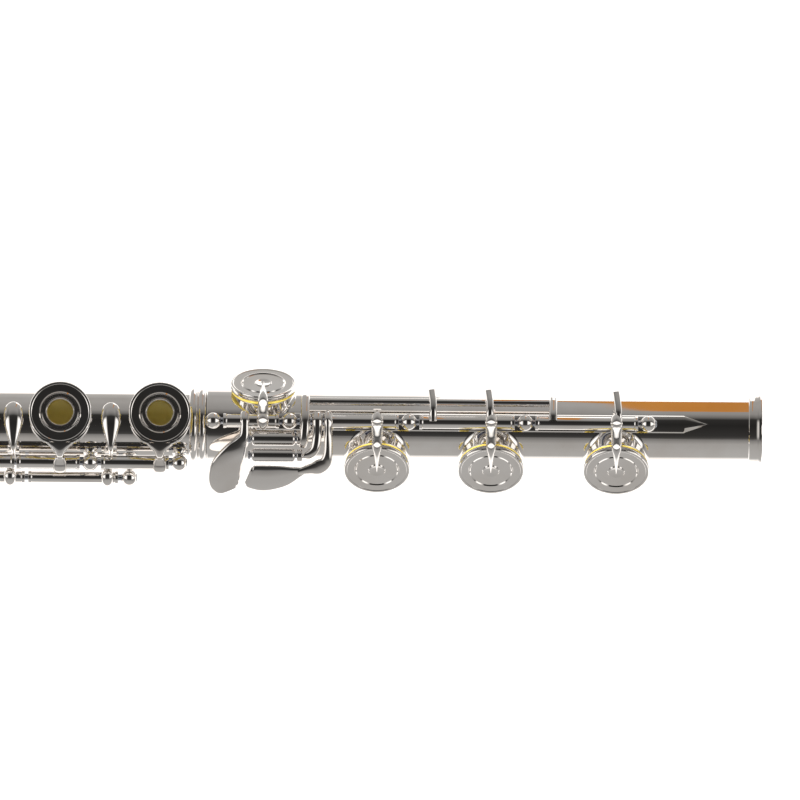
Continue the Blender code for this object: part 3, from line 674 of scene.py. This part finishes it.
def crown_and_stopper():
    end = span("crown")[1]
    edge = 8.95
    profile = [(0.0, 0.0), (6.0, 0.0), (7.7, 0.7), (8.7, 2.2), (edge, 4.4), (edge - 0.1, 6.6)]
    profile = fillet(profile, 1.2)
    for i in range(13):
        profile.append((edge - 0.1 + 0.95 * math.sin(math.pi * i / 12) ** 0.7, 6.8 + 3.4 * i / 12))
    profile += [(8.0, 10.2), (8.0, 12.0), (2.6, 12.0), (2.6, end), (1.9, end), (1.9, 5.2), (0.0, 5.0)]
    settle(lathe("crown_cap", profile, "silver", ROUND), ALONG_X, "crown", "crown")
    low, high = span("stopper_cork")
    profile = fillet([(1.8, low), (8.2, low), (8.2, high), (1.8, high)], 0.4, closed=True)
    settle(lathe("stopper_cork_plug", profile, "cork", FINE, closed=True), ALONG_X, "stopper", "stopper_cork")
    low_end, high_end = span("stopper_screw")
    profile = [(0.0, low_end), (1.3, low_end)]
    x = low_end + 0.4
    while x < low - 2.0:
        profile += [(1.5, x), (1.25, x + 0.25)]
        x += 0.5
    profile += [(1.5, low - 1.5), (5.0, low - 1.5), (5.0, low - 0.3), (1.5, low - 0.3), (1.5, high + 0.3)]
    profile += [(8.2, high + 0.3), (8.2, high_end), (0.0, high_end)]
    settle(lathe("stopper_rod", profile, "steel", 48), ALONG_X, "stopper", "stopper_screw")


# ---------------------------------------------------------------- ribs, posts, steels


def rib(name, node, body, turn, half_width, pointed, notches=()):
    """A soldered strip with bevelled edges, pointed at its +X end and cut thin at the notches where asked."""
    low, high = span(node)
    tip = 7.0 if pointed else 1.2
    stations = [(low, 0.55), (low + 0.6, 1.0), (high - tip, 1.0)]
    stations += [(high - tip + 0.3, 0.96)] if pointed else []
    stations += [(high - tip * (1 - k / 6), 1.0 - 0.97 * k / 6) for k in range(1, 7)]
    stations += [(x + side * reach, 1.0) for x in notches for side in (-1, 1) for reach in (1.7, 1.6)]
    stations.sort()
    verts, faces = [], []
    edge = [(-1.0, RIB_FOOT), (-1.0, 10.45), (-0.86, 10.75), (-0.5, 10.85), (0.0, RIB_TOP)]
    for x, share in stations:
        section = [*edge, (0.5, 10.85), (0.86, 10.75), (1.0, 10.45), (1.0, RIB_FOOT)]
        if pointed and x > high - tip + 0.1:
            section[-4:] = [(0.2, 10.86), (0.45, 10.8), (0.98, 10.0), (1.0, RIB_FOOT)]
        if any(abs(x - notch) < 1.65 for notch in notches):
            section = [(across, min(radius, NOTCH_RADIUS)) for across, radius in section]
        for across, radius in section:
            verts.append(around(x, turn + half_width * share * across, radius))
    count = len(section)
    for i in range(len(stations) - 1):
        for k in range(count - 1):
            here, after = i * count + k, (i + 1) * count + k
            faces.append((here, here + 1, after + 1, after))
    faces.append(tuple(range(count)))
    faces.append(tuple(range((len(stations) - 1) * count, len(stations) * count)))
    strip = mesh_object(name, verts, faces, "silver", 20.0)
    return settle(strip, Matrix(), body, node)


def post(name, body, x, rod, foot_radius):
    """A turned post: a flared foot, a waist and a ball that the steel passes through."""
    y, z = rod
    radius = math.hypot(y, z)
    turn = math.degrees(math.atan2(-y, z))
    depth = foot_radius - radius
    profile = [(2.1, depth), (2.1, depth + 0.25), (1.45, depth + 0.7), (1.2, depth + 1.2), (1.15, -2.3)]
    for i in range(3, 17):
        angle = -math.pi / 2 + math.pi * i / 16
        profile.append((POST_BALL * math.cos(angle), POST_BALL * math.sin(angle)))
    settle(lathe(name, profile, "silver", 40), at((x, y, z), turn), body)
    for side in (-1.0, 1.0):
        screw = [(0.0, 2.3), (1.1, 2.3), (1.25, 2.15), (1.25, 1.7)]
        face = lathe(f"{name}_face_{'left' if side < 0 else 'right'}", screw, "steel", 32)
        settle(face, at((x, y, z), turn) @ Matrix.Rotation(math.radians(90.0 * side), 4, "Y"), body)


RECEIVER_POST_X = 531.6
POSTS = {
    "main": ("body", "d_key", (282.0, 351.0, 420.0, 495.1, 521.6)),
    "trill": ("body", "trill_d_key", (251.0, 390.0, 506.7)),
    "gsharp": ("body", "gsharp_key", (395.5, 420.0)),
    "thumb": ("body", "thumb_key", (314.5, 349.0)),
    "foot": ("foot", "foot_dsharp_key", (RECEIVER_POST_X, 554.3, 589.8, 624.4, 661.0)),
}


def ribs_and_posts():
    rib("main_strip", "main_rib", "body", 68.0, 15.5, False, tuple(TRILL_TOUCHES.values()))
    rib("trill_strip", "trill_rib", "body", 91.5, 5.5, True)
    rib("gsharp_strip", "gsharp_rib", "body", -60.5, 5.5, True)
    rib("thumb_strip", "thumb_rib", "body", 198.3, 4.8, True)
    rib("foot_strip", "foot_rib", "foot", 10.0, 14.5, True)
    for name, (body, key, xs) in POSTS.items():
        for i, x in enumerate(xs):
            foot = RECEIVER_POST_FOOT if x == RECEIVER_POST_X else POST_FOOT
            post(f"{name}_post_{i}", body, x, rod_of(key), foot)
    low, high = span("receiver_post")
    saddle = [(11.1, low), (12.1, low), (12.1, high), (11.1, high)]
    verts, faces = [], []
    for i in range(9):
        for radius, x in saddle:
            verts.append(around(x, 2.0 + 20.0 * i / 8, radius))
    for i in range(8):
        for k in range(4):
            n = (k + 1) % 4
            faces.append((i * 4 + k, (i + 1) * 4 + k, (i + 1) * 4 + n, i * 4 + n))
    faces += [(0, 1, 2, 3), (32, 33, 34, 35)]
    settle(mesh_object("receiver_saddle", verts, faces, "silver"), Matrix(), "foot", "receiver_post")
    rods = {
        "right_hand_steel": ("body", "d_key"),
        "left_hand_steel": ("body", "d_key"),
        "gsharp_steel": ("body", "gsharp_key"),
        "thumb_steel": ("body", "thumb_key"),
        "foot_dsharp_steel": ("foot", "foot_dsharp_key"),
    }
    for node, (body, key) in rods.items():
        rod = solid_rod(node + "_rod", SHAFT, *span(node), "steel")
        settle(rod, at((0.0, *rod_of(key))) @ ALONG_X, body, node)


# ---------------------------------------------------------------- keys


def cup_profile(radius, finger):
    """From the inside of the skirt, out over the rim and in to the middle, in heights above the rim."""
    inner = radius - 0.45
    skirt = [(inner, 2.45), (inner, 1.3), (radius - 0.08, 1.3), (radius, 1.42), (radius, 1.7)]
    if radius < 6.0:
        top = [(radius - 0.3, 2.6), (radius - 0.8, 3.0), (radius * 0.6, 3.1), (radius * 0.5, 3.35)]
        top += [(radius * 0.35, 3.35), (radius * 0.28, 3.1)]
        return [(0.0, 2.45), *skirt, *top, (0.0, 3.1)]
    waist = [(radius - 0.65, 1.95), (radius - 0.65, 2.2), (radius - 0.08, 2.55), (radius, 2.7)]
    edge = ((0.12, 2.92), (0.4, 3.05), (0.75, 3.0), (0.9, 2.86), (1.0, 2.86))
    rim = [(radius - inset, height) for inset, height in edge]
    if finger:
        ring = [(6.35, 2.86), (6.25, 2.86), (5.8, 3.4), (5.62, 3.42)]
        ring += [(5.15, 2.9), (5.05, 2.9), (4.7, 2.9), (4.6, 2.9)]
        grommet = [(4.25, 3.42), (4.1, 3.46), (3.9, 3.3), (3.8, 3.0), (3.75, 1.0), (4.55, 1.0), (4.6, 2.45)]
        return [*skirt, *waist, *rim, *ring, *grommet]
    ring = [(radius * 0.7, 2.86), (radius * 0.69, 2.86), (radius * 0.67, 3.15), (radius * 0.65, 3.17)]
    ring += [(radius * 0.62, 2.86), (radius * 0.61, 2.86)]
    boss = [(2.7, 2.86), (2.6, 2.86), (2.3, 3.15), (1.9, 3.1), (1.6, 2.95)]
    return [(0.0, 2.45), *skirt, *waist, *rim, *ring, *boss, (0.0, 2.92)]


def cup_and_pad(pad, body, node):
    turn, radius, finger = HOLES[pad]
    place = at(around(middle(pad).x, turn, RIM), turn)
    profile = cup_profile(radius + CUP_OVERLAP, finger)
    cup = lathe(pad.replace("_pad", "_cup"), profile, "silver", 80, closed=finger)
    settle(cup, place, body, *([node] if node else []))
    bulge = radius + CUP_OVERLAP - 0.35
    outside = [(bulge - 1.0, 0.05), (bulge - 0.2, 0.2), (bulge + 0.2, 0.6), (bulge + 0.2, 1.0)]
    outside += [(bulge - 0.3, 1.25), (bulge - 0.3, 2.3)]
    inside = [(0.0, 0.2), (1.6, 0.2), (1.9, 0.1)]
    if finger:
        inside = [(4.7, 2.3), (4.7, 0.35), (4.9, 0.15), (5.5, 0.1)]
    made = lathe(pad + "_skin", [*inside, *outside], "pad", 80, closed=finger)
    settle(made, place, body, pad)
    if not finger:
        washer = [(0.0, -0.05), (1.7, -0.05), (1.9, 0.12), (1.9, 0.3)]
        settle(lathe(pad + "_washer", washer, "steel", 32), place, body)


def cup_frame(pad, body):
    """A function from reach and height at the cup to a point, with where the rod lies in them."""
    turn, radius, _ = HOLES[pad]
    x = middle(pad).x
    angle = math.radians(turn)
    y, z = rod_of(body)
    outward = Vector((0.0, -math.sin(angle), math.cos(angle)))
    across = Vector((0.0, -math.cos(angle), -math.sin(angle)))
    rod = Vector((0.0, y, z))
    if rod.dot(across) < 0:
        across = -across

    def point(reach, height, lean=0.0):
        return Vector((x + lean, 0.0, 0.0)) + outward * (RIM + height) + across * reach

    return point, rod.dot(across), rod.dot(outward) - RIM, radius + CUP_OVERLAP


def saddle(point, reach, height, tube, width):
    """Knots round the outer side of a hinge tube, from its far side towards the cup."""
    knots = []
    for degrees, share in ((-38.0, 0.35), (-22.0, 0.8), (5.0, 1.0), (40.0, 1.05), (75.0, 1.0)):
        angle, out = math.radians(degrees), tube + 0.25
        knots.append((*point(reach + out * math.cos(angle), height + out * math.sin(angle)), width * share))
    return knots


def pointed_arm(pad, body):
    """The arm that runs over the cup to a point at its middle."""
    point, reach, height, radius = cup_frame(pad, body)
    wide = 1.75 if radius > 6 else 1.1
    knots = saddle(point, reach, height, TRILL_TUBE if body.startswith("trill") else KEY_TUBE, wide)
    knots += [
        (*point((reach + radius) / 2 + 0.4, (height + ARM_HEIGHT) / 2 + 0.7), wide * 0.9),
        (*point(radius + 0.5, ARM_HEIGHT - 1.0), wide * 0.85),
        (*point(radius - 1.6, ARM_HEIGHT - 0.1), wide * 0.6),
        (*point(radius * 0.45, ARM_HEIGHT - 0.2), wide * 0.4),
        (*point(-0.3, ARM_HEIGHT - 0.5), 0.15),
    ]
    arm = round_bar(pad.replace("_pad", "_arm"), knots, flat=0.5, ridge=0.45, per_span=8)
    settle(arm, Matrix(), body)


def forked_arm(pad, body):
    """A stem that parts into two tines along the rim of an open cup."""
    point, reach, height, radius = cup_frame(pad, body)
    knots = saddle(point, reach, height, KEY_TUBE, 1.9)
    knots += [
        (*point(reach - 1.0, height + 3.8), 1.35),
        (*point(radius + 2.9, 0.9), 1.25),
        (*point(radius + 2.0, 1.75), 1.6),
        (*point(radius + 0.7, 2.3), 3.0),
        (*point(radius - 0.3, 2.5), 4.3),
    ]
    settle(flat_bar(pad.replace("_pad", "_stem"), knots, 1.3, 0.35), Matrix(), body)
    for name, lean in (("left", -1.0), ("right", 1.0)):
        knots = [(*point(radius + 2.6, 1.4, lean * 0.8), 0.55)]
        for angle, width in ((20.0, 0.75), (34.0, 0.75), (50.0, 0.55), (66.0, 0.15)):
            a = math.radians(angle)
            reach_out = radius + 0.2
            knots.append((*point(reach_out * math.cos(a), 2.3, lean * reach_out * math.sin(a)), width))
        tine = round_bar(f"{pad.replace('_pad', '_tine')}_{name}", knots, flat=0.8, side=(1.0, 0.3, 0.0))
        settle(tine, Matrix(), body)


def sleeves(body, *spans):
    """Hinge tubes with a turned collar at each end."""
    y, z = rod_of(body)
    r = TRILL_TUBE if body.startswith("trill") else KEY_TUBE
    c = r + 0.2
    for i, (low, high) in enumerate(spans):
        profile = [(SHAFT + 0.1, low), (c, low), (c, low + 0.9), (r, low + 1.1)]
        profile += [(r, high - 1.1), (c, high - 0.9), (c, high), (SHAFT + 0.1, high)]
        profile = fillet(profile, 0.15, closed=True, steps=2)
        tube = lathe(f"{body}_hinge_{i}", profile, "silver", 40, closed=True)
        settle(tube, at((0.0, y, z)) @ ALONG_X, body)


def needle(body, parent, x_from, x_to):
    """A needle spring from its post to the hook under a hinge tube."""
    y, z = rod_of(body)
    radius = math.hypot(y, z)
    turn = math.degrees(math.atan2(-y, z))
    start, end = around(x_from, turn, radius - 1.5), around(x_to, turn, radius - 2.2)
    knots = [(*start, 0.28), (*((start + end) / 2), 0.24), (*end, 0.16)]
    settle(round_bar(f"{body}_needle", knots, "blued", 1.0), Matrix(), parent)


KEY_TUBES = {
    "d_key": ((498.3, 518.5),),
    "e_key": ((473.2, 492.0),),
    "f_key": ((446.2, 472.6),),
    "fsharp_key": ((423.2, 445.6),),
    "g_key": ((373.4, 416.8),),
    "a_key": ((354.2, 372.8),),
    "bflat_key": ((331.4, 347.8),),
    "c_key": ((285.2, 330.8),),
    "gsharp_key": ((398.7, 416.8),),
    "thumb_key": ((317.7, 345.8),),
    "trill_d_key": ((268.6, 475.6),),
    "trill_dsharp_key": ((254.4, 267.6), (476.6, 503.4)),
    "foot_dsharp_key": ((534.6, 551.2),),
    "foot_csharp_key": ((564.8, 586.8),),
    "foot_c_key": ((561.1, 564.2), (592.9, 621.3)),
    "foot_b_key": ((557.4, 560.5), (627.4, 658.0)),
}


def bar(body, name, knots, flat=0.8):
    return settle(round_bar(f"{body}_{name}", knots, flat=flat), Matrix(), body)


def strip(body, name, knots, thickness=1.3, crown=0.2):
    return settle(flat_bar(f"{body}_{name}", knots, thickness, crown), Matrix(), body)


def touch(body, name, outline, centre, tilt, thickness=1.3):
    piece = slab(f"{body}_{name}", outline, thickness, "silver")
    return settle(piece, at(centre, tilt), body)


def rod_start(body, x):
    """The knot at which an arm leaves its key's tube."""
    y, z = rod_of(body)
    return (x, y, z, 1.4)


def all_keys():
    bodies = frame["record"]["behaviour"]["bodies"]
    for body, tubes in KEY_TUBES.items():
        sleeves(body, *tubes)
        pads = [node for node in bodies[body] if node in HOLES]
        for i, pad in enumerate(pads):
            cup_and_pad(pad, body, body if i == 0 else None)
            if HOLES[pad][2]:
                forked_arm(pad, body)
            else:
                pointed_arm(pad, body)
    gsharp_lever()
    thumb_touch()
    trill_touches()
    foot_touches()
    springs()


def gsharp_lever():
    x = 413.5
    knots = [rod_start("gsharp_key", x), (x + 2.0, 11.0, 14.0, 1.3), (420.0, 5.0, 16.0, 1.3)]
    knots += [(420.0, -8.0, 16.0, 1.3), (417.0, -15.5, 14.8, 1.5)]
    bar("gsharp_key", "lever", knots, flat=0.6)
    touch("gsharp_key", "touch", paddle(9.5, 3.4), (411.0, -18.0, 14.2), 10.0)


def thumb_touch():
    x = middle("thumb_pad").x
    arm_x = 320.0
    knots = [rod_start("thumb_key", arm_x), (*around(arm_x, 176.0, 16.6), 1.3)]
    knots.append((*around(arm_x - 1.0, 160.0, 15.6), 1.2))
    bar("thumb_key", "touch_arm", knots)
    turn = HOLES["thumb_pad"][0] + 4.0
    touch("thumb_key", "touch", paddle(5.2, 6.5), around(x - 14.6, turn, 15.2), turn, 1.2)


def trill_touches():
    """A domed drop between two finger cups, on an arm that passes between the main rod and the tube."""
    for body, x in TRILL_TOUCHES.items():
        y, z = rod_of(body)
        knots = [(x - 1.0, y - 1.9, z - 0.7, 0.3), (x - 1.0, y - 1.8, z + 0.6, 1.5)]
        knots += [(x - 1.0, y - 0.3, z + 2.0, 1.9), (x - 0.8, y + 1.5, z + 1.7, 1.4)]
        knots += [(x - 0.4, -13.3, 1.5, 0.9), (x, -11.4, 3.75, 0.6)]
        knots += [(x, -10.95, 4.75, 0.6), (x, -10.5, 6.2, 0.65), (x, -10.4, 9.4, 0.8), (x, -10.2, 12.6, 0.9)]
        bar(body, "touch_arm", knots)
        drop = [(x, 2.1, 14.0, 0.5), (x, 1.6, 14.3, 1.7), (x, 0.2, 14.6, 2.6), (x, -2.4, 14.8, 2.9)]
        drop += [(x, -5.2, 14.6, 2.6), (x, -8.2, 14.1, 1.8), (x, -10.8, 13.3, 1.0), (x, -12.0, 12.7, 0.4)]
        bar(body, "touch", drop, 0.55)
    y, z = rod_of("trill_dsharp_key")
    shaft = solid_rod("trill_dsharp_shaft", SHAFT, 249.6, 508.6, "steel")
    settle(shaft, at((0.0, y, z)) @ ALONG_X, "trill_dsharp_key")


def over_foot_rod(x, width):
    """Knots over a hinge tube of the foot, from behind it towards the player."""
    y, z = rod_of("foot_c_key")
    path = ((2.1, -0.5, 0.5), (2.1, 0.6, 0.9), (1.3, 1.8, 1.0), (-0.6, 2.3, 1.0), (-2.4, 1.7, 0.95))
    return [(x, y + a, z + b, width * share) for a, b, share in path]


def foot_touches():
    dsharp_touch()
    csharp_touch()
    axle("foot_c_key", "c_roller", C_ROLLER)
    axle("foot_b_key", "b_roller", B_ROLLER)
    knots = over_foot_rod(562.6, 1.5)
    knots += [(562.5, -9.0, 14.9, 1.4), (561.8, -12.0, 13.2, 1.4)]
    knots += [(559.6, -13.4, 11.8, 1.3), (557.6, -13.1, 11.1, 0.9)]
    bar("foot_c_key", "roller_arm", knots, 0.6)
    for i, x in enumerate((597.0, 613.9)):
        knots = [(x, -3.4, 15.9, 1.1), (x, -1.4, 17.3, 1.1), (x, 1.8, 17.9, 1.05), (x - 0.5, 5.6, 18.0, 1.05)]
        strip("foot_c_key", f"tail_{i}", knots)
    knots = [(652.1, -3.4, 15.9, 1.1), (652.1, -1.4, 17.0, 1.1)]
    knots += [(651.9, 1.8, 17.4, 1.05), (651.4, 5.6, 17.5, 1.05)]
    strip("foot_b_key", "tail", knots)
    bridge_line = around(0.0, -14.0, 14.8)
    bridge = solid_rod("foot_b_bridge", 1.15, 557.9, 633.9, "silver")
    settle(bridge, at((0.0, bridge_line.y, bridge_line.z)) @ ALONG_X, "foot_b_key")
    knots = [(559.0, 4.9, 13.8, 1.0), (559.0, 4.4, 15.3, 1.3)]
    knots += [(559.0, 2.0, 16.3, 1.3), (559.0, -2.5, 16.9, 1.3)]
    knots += [(558.9, -6.4, 16.0, 1.3), (558.6, -9.2, 13.9, 1.3), (558.3, -10.3, 12.0, 1.1)]
    strip("foot_b_key", "roller_arm", knots, 1.4)
    knots = [(632.7, 4.6, 14.6, 1.2), (632.7, 2.6, 15.7, 1.2)]
    knots += [(632.7, -0.6, 16.4, 1.2), (632.7, -3.2, 16.0, 1.2)]
    strip("foot_b_key", "lug", knots, 1.4)
    y, z = rod_of("foot_c_key")
    shaft = solid_rod("foot_c_shaft", SHAFT, 555.0, 663.6, "steel")
    settle(shaft, at((0.0, y, z)) @ ALONG_X, "foot_c_key")


def dsharp_touch():
    """A plate for the little finger that broadens and bends down from its arm."""
    knots = over_foot_rod(541.0, 1.35)
    knots += [
        (540.8, -8.0, 15.0, 1.5),
        (539.7, -9.9, 14.0, 2.2),
        (537.9, -12.4, 12.3, 3.5),
        (535.7, -15.7, 9.2, 4.6),
        (535.0, -18.6, 6.0, 4.7),
        (535.6, -20.2, 4.1, 4.1),
        (536.1, -21.0, 3.2, 2.8),
    ]
    strip("foot_dsharp_key", "touch", knots, 1.3, 0.4)


def csharp_touch():
    """A wing beside the rollers, on a curved arm from the rod."""
    body = "foot_csharp_key"
    knots = over_foot_rod(565.9, 1.3)
    knots += [(565.9, -9.2, 14.6, 1.25), (565.8, -13.0, 12.3, 1.4), (565.0, -15.0, 10.6, 1.9)]
    knots += [(563.0, -16.0, 9.7, 2.2), (560.4, -16.5, 9.3, 1.5), (557.0, -17.0, 8.7, 1.0)]
    piece = flat_bar(body + "_touch_arm", knots, 1.4, 0.3, side=(0.75, -0.42, -0.5))
    settle(piece, Matrix(), body)
    wing = [(561.4, -16.3, 9.6, 0.4), (557.3, -17.1, 8.5, 1.6)]
    wing += [(552.7, -17.9, 7.3, 3.4), (547.3, -18.4, 6.7, 4.2)]
    wing += [(543.6, -18.2, 6.9, 3.9), (542.3, -18.1, 7.2, 3.0), (541.9, -18.0, 7.3, 1.8)]
    slope = (0.0, -math.cos(math.radians(56.0)), -math.sin(math.radians(56.0)))
    settle(flat_bar(body + "_touch", wing, 1.3, 0.15, 25.0, slope), Matrix(), body)


def axle(key, body, centre):
    """A roller on its axle, with the axle's head and the ear of the key that holds it."""
    low, high = span(body)
    profile = [(1.05, low), (1.6, low), (2.0, low + 0.5), (2.0, high - 0.5), (1.6, high), (1.05, high)]
    roller = lathe(body + "_barrel", fillet(profile, 0.3, closed=True), "roller", 48, closed=True)
    settle(roller, at((0.0, *centre)) @ ALONG_X, body, body, key=key)
    pins = (("axle", 0.8, 542.3, 558.0), ("head", 1.25, 542.0, 542.8), ("ear", 1.8, 556.6, 558.2))
    for name, radius, x_from, x_to in pins:
        pin = solid_rod(f"{body}_{name}", radius, x_from, x_to, "silver" if name == "ear" else "steel")
        settle(pin, at((0.0, *centre)) @ ALONG_X, key)


def springs():
    for body, parent, x_from, x_to in (
        ("d_key", "body", 521.6, 506.0),
        ("e_key", "body", 495.1, 480.0),
        ("fsharp_key", "body", 420.0, 434.0),
        ("a_key", "body", 351.0, 364.0),
        ("bflat_key", "body", 351.0, 338.0),
        ("c_key", "body", 282.0, 300.0),
        ("foot_dsharp_key", "foot", 531.6, 545.0),
        ("foot_csharp_key", "foot", 589.8, 574.0),
        ("foot_c_key", "foot", 624.4, 606.0),
        ("foot_b_key", "foot", 661.0, 640.0),
    ):
        needle(body, parent, x_from, x_to)


# ---------------------------------------------------------------- studio


def studio():
    """A white floor under a light tent. Polished metal mirrors the tent and not the floor or the lamps."""
    floor_z = CAD_BOX[0].z - 0.0005
    corners = [(x, y, floor_z) for x, y in ((-2.5, -2.5), (2.5, -2.5), (2.5, 2.5), (-2.5, 2.5))]
    staged("studio_floor", corners, studio_floor()).visible_glossy = False
    area_light("front_lamp", (0.35, -0.8, 1.0), (0.5, 0.0, 0.0), (1.4, 0.7), 26.0, (1.0, 0.99, 0.97))
    area_light("back_lamp", (0.5, 0.8, 1.0), (0.5, 0.0, 0.0), (1.4, 0.7), 26.0, (1.0, 0.98, 0.95))
    brown = [(0.628, -0.027), (0.706, -0.027), (0.706, 0.588), (0.6703, 0.588)]
    brown += [(0.6645, 0.48), (0.6598, 0.341), (0.6556, 0.11), (0.64, 0.03)]
    reflector("brown_card", (0.55, 0.23, 0.045), brown)
    white = [(0.6, -0.35), (0.8, -0.35), (0.8, -0.0275), (0.6, -0.0275)]
    reflector("white_card", (1.5, 1.48, 1.45), white)
    light_tent()


def staged(name, corners, material):
    """A flat sheet of the studio."""
    mesh = bpy.data.meshes.new(name)
    mesh.from_pydata(corners, [], [tuple(range(len(corners)))])
    mesh.materials.append(material)
    sheet = bpy.data.objects.new(name, mesh)
    bpy.context.scene.collection.objects.link(sheet)
    return sheet


def reflector(name, colour, corners):
    """A card behind the foot, that only polished metal sees, with its corners as (x, z)."""
    made, tree, shader = new_material(name, colour, 0.0, 1.0)
    shader.inputs["Base Color"].default_value = (0.0, 0.0, 0.0, 1.0)
    shader.inputs["Emission Strength"].default_value = 1.0
    stops = [(0.3, tuple(c * 0.92 for c in colour)), (0.7, colour)]
    glow = ramp(tree, noise(tree, 25.0, 3.0, (0.2, 1.0, 3.0)), stops)
    tree.links.new(glow, shader.inputs["Emission Color"])
    card = staged(name, [(x, CARD_Y, z) for x, z in corners], made)
    card.visible_camera = card.visible_diffuse = card.visible_shadow = False


def light_tent():
    """The tent by the angle round the flute, from the player's horizon over the top: white below, grey
    walls and a dark gap overhead. Either end has a white panel overhead between dark edges."""
    world = bpy.data.worlds.new("light_tent")
    world.use_nodes = True
    tree = world.node_tree
    place = tree.nodes.new("ShaderNodeTexCoord")
    parts = tree.nodes.new("ShaderNodeSeparateXYZ")
    tree.links.new(place.outputs["Generated"], parts.inputs["Vector"])
    front = math_node(tree, "MULTIPLY", parts.outputs["Y"], -1.0)
    angle = math_node(tree, "ARCTAN2", parts.outputs["Z"], front)
    share = math_node(tree, "MULTIPLY_ADD", angle, 1 / (2 * math.pi), 0.5)
    walls, ends = (tent_ramp(tree, share, stops) for stops in (TENT, END_TENT))
    end = math_node(tree, "ABSOLUTE", parts.outputs["X"])
    mask = spread(tree, end, 0.0, 1.0, END_PANEL)
    mix = tree.nodes.new("ShaderNodeMix")
    mix.data_type = "RGBA"
    tree.links.new(mask, mix.inputs["Factor"])
    tree.links.new(walls, mix.inputs["A"])
    tree.links.new(ends, mix.inputs["B"])
    tree.links.new(mix.outputs["Result"], world.node_tree.nodes["Background"].inputs["Color"])
    bpy.context.scene.world = world


def tent_ramp(tree, share, stops):
    return ramp(tree, share, [(0.5 + degrees / 360.0, (v, v * 0.98, v * 0.955)) for degrees, v in stops])


def math_node(tree, operation, *values):
    node = tree.nodes.new("ShaderNodeMath")
    node.operation = operation
    for socket, value in zip(node.inputs, values):
        if isinstance(value, float):
            socket.default_value = value
        else:
            tree.links.new(value, socket)
    return node.outputs["Value"]


def area_light(name, location, target, size, power, colour):
    light = bpy.data.lights.new(name, "AREA")
    light.shape = "RECTANGLE"
    light.size, light.size_y = size
    light.energy = power
    light.color = colour
    obj = bpy.data.objects.new(name, light)
    obj.location = location
    obj.rotation_euler = (Vector(target) - Vector(location)).to_track_quat("-Z", "Y").to_euler()
    obj.visible_glossy = False
    bpy.context.scene.collection.objects.link(obj)


def camera():
    """A long lens high over the foot from the player's side, rolled as the photographed flute is."""
    elevation = math.radians(ELEVATION)
    back = Vector((0.0, -math.cos(elevation), math.sin(elevation)))
    up = Vector((0.0, math.sin(elevation), math.cos(elevation)))
    lens, sensor = 1000.0, 36.0
    # The foot's end is right of the picture's middle, and the flute's axis below it, by shares of its width
    target = Vector((CAD_BOX[1].x - 0.4525 * VIEW_WIDTH, 0.0, 0.0)) + up * 0.0338 * VIEW_WIDTH
    data = bpy.data.cameras.new("camera")
    data.lens, data.sensor_width = lens, sensor
    obj = bpy.data.objects.new("camera", data)
    obj.location = target + back * VIEW_WIDTH * lens / sensor
    level = (-back).to_track_quat("-Z", "Y").to_matrix()
    obj.rotation_euler = (level @ Matrix.Rotation(math.radians(ROLL), 3, "Z")).to_euler()
    bpy.context.scene.collection.objects.link(obj)
    bpy.context.scene.camera = obj
    bpy.context.scene.view_settings.view_transform = "Standard"


camera()
body_and_foot_tubes()
rings()
head_joint()
ribs_and_posts()
all_keys()
studio()
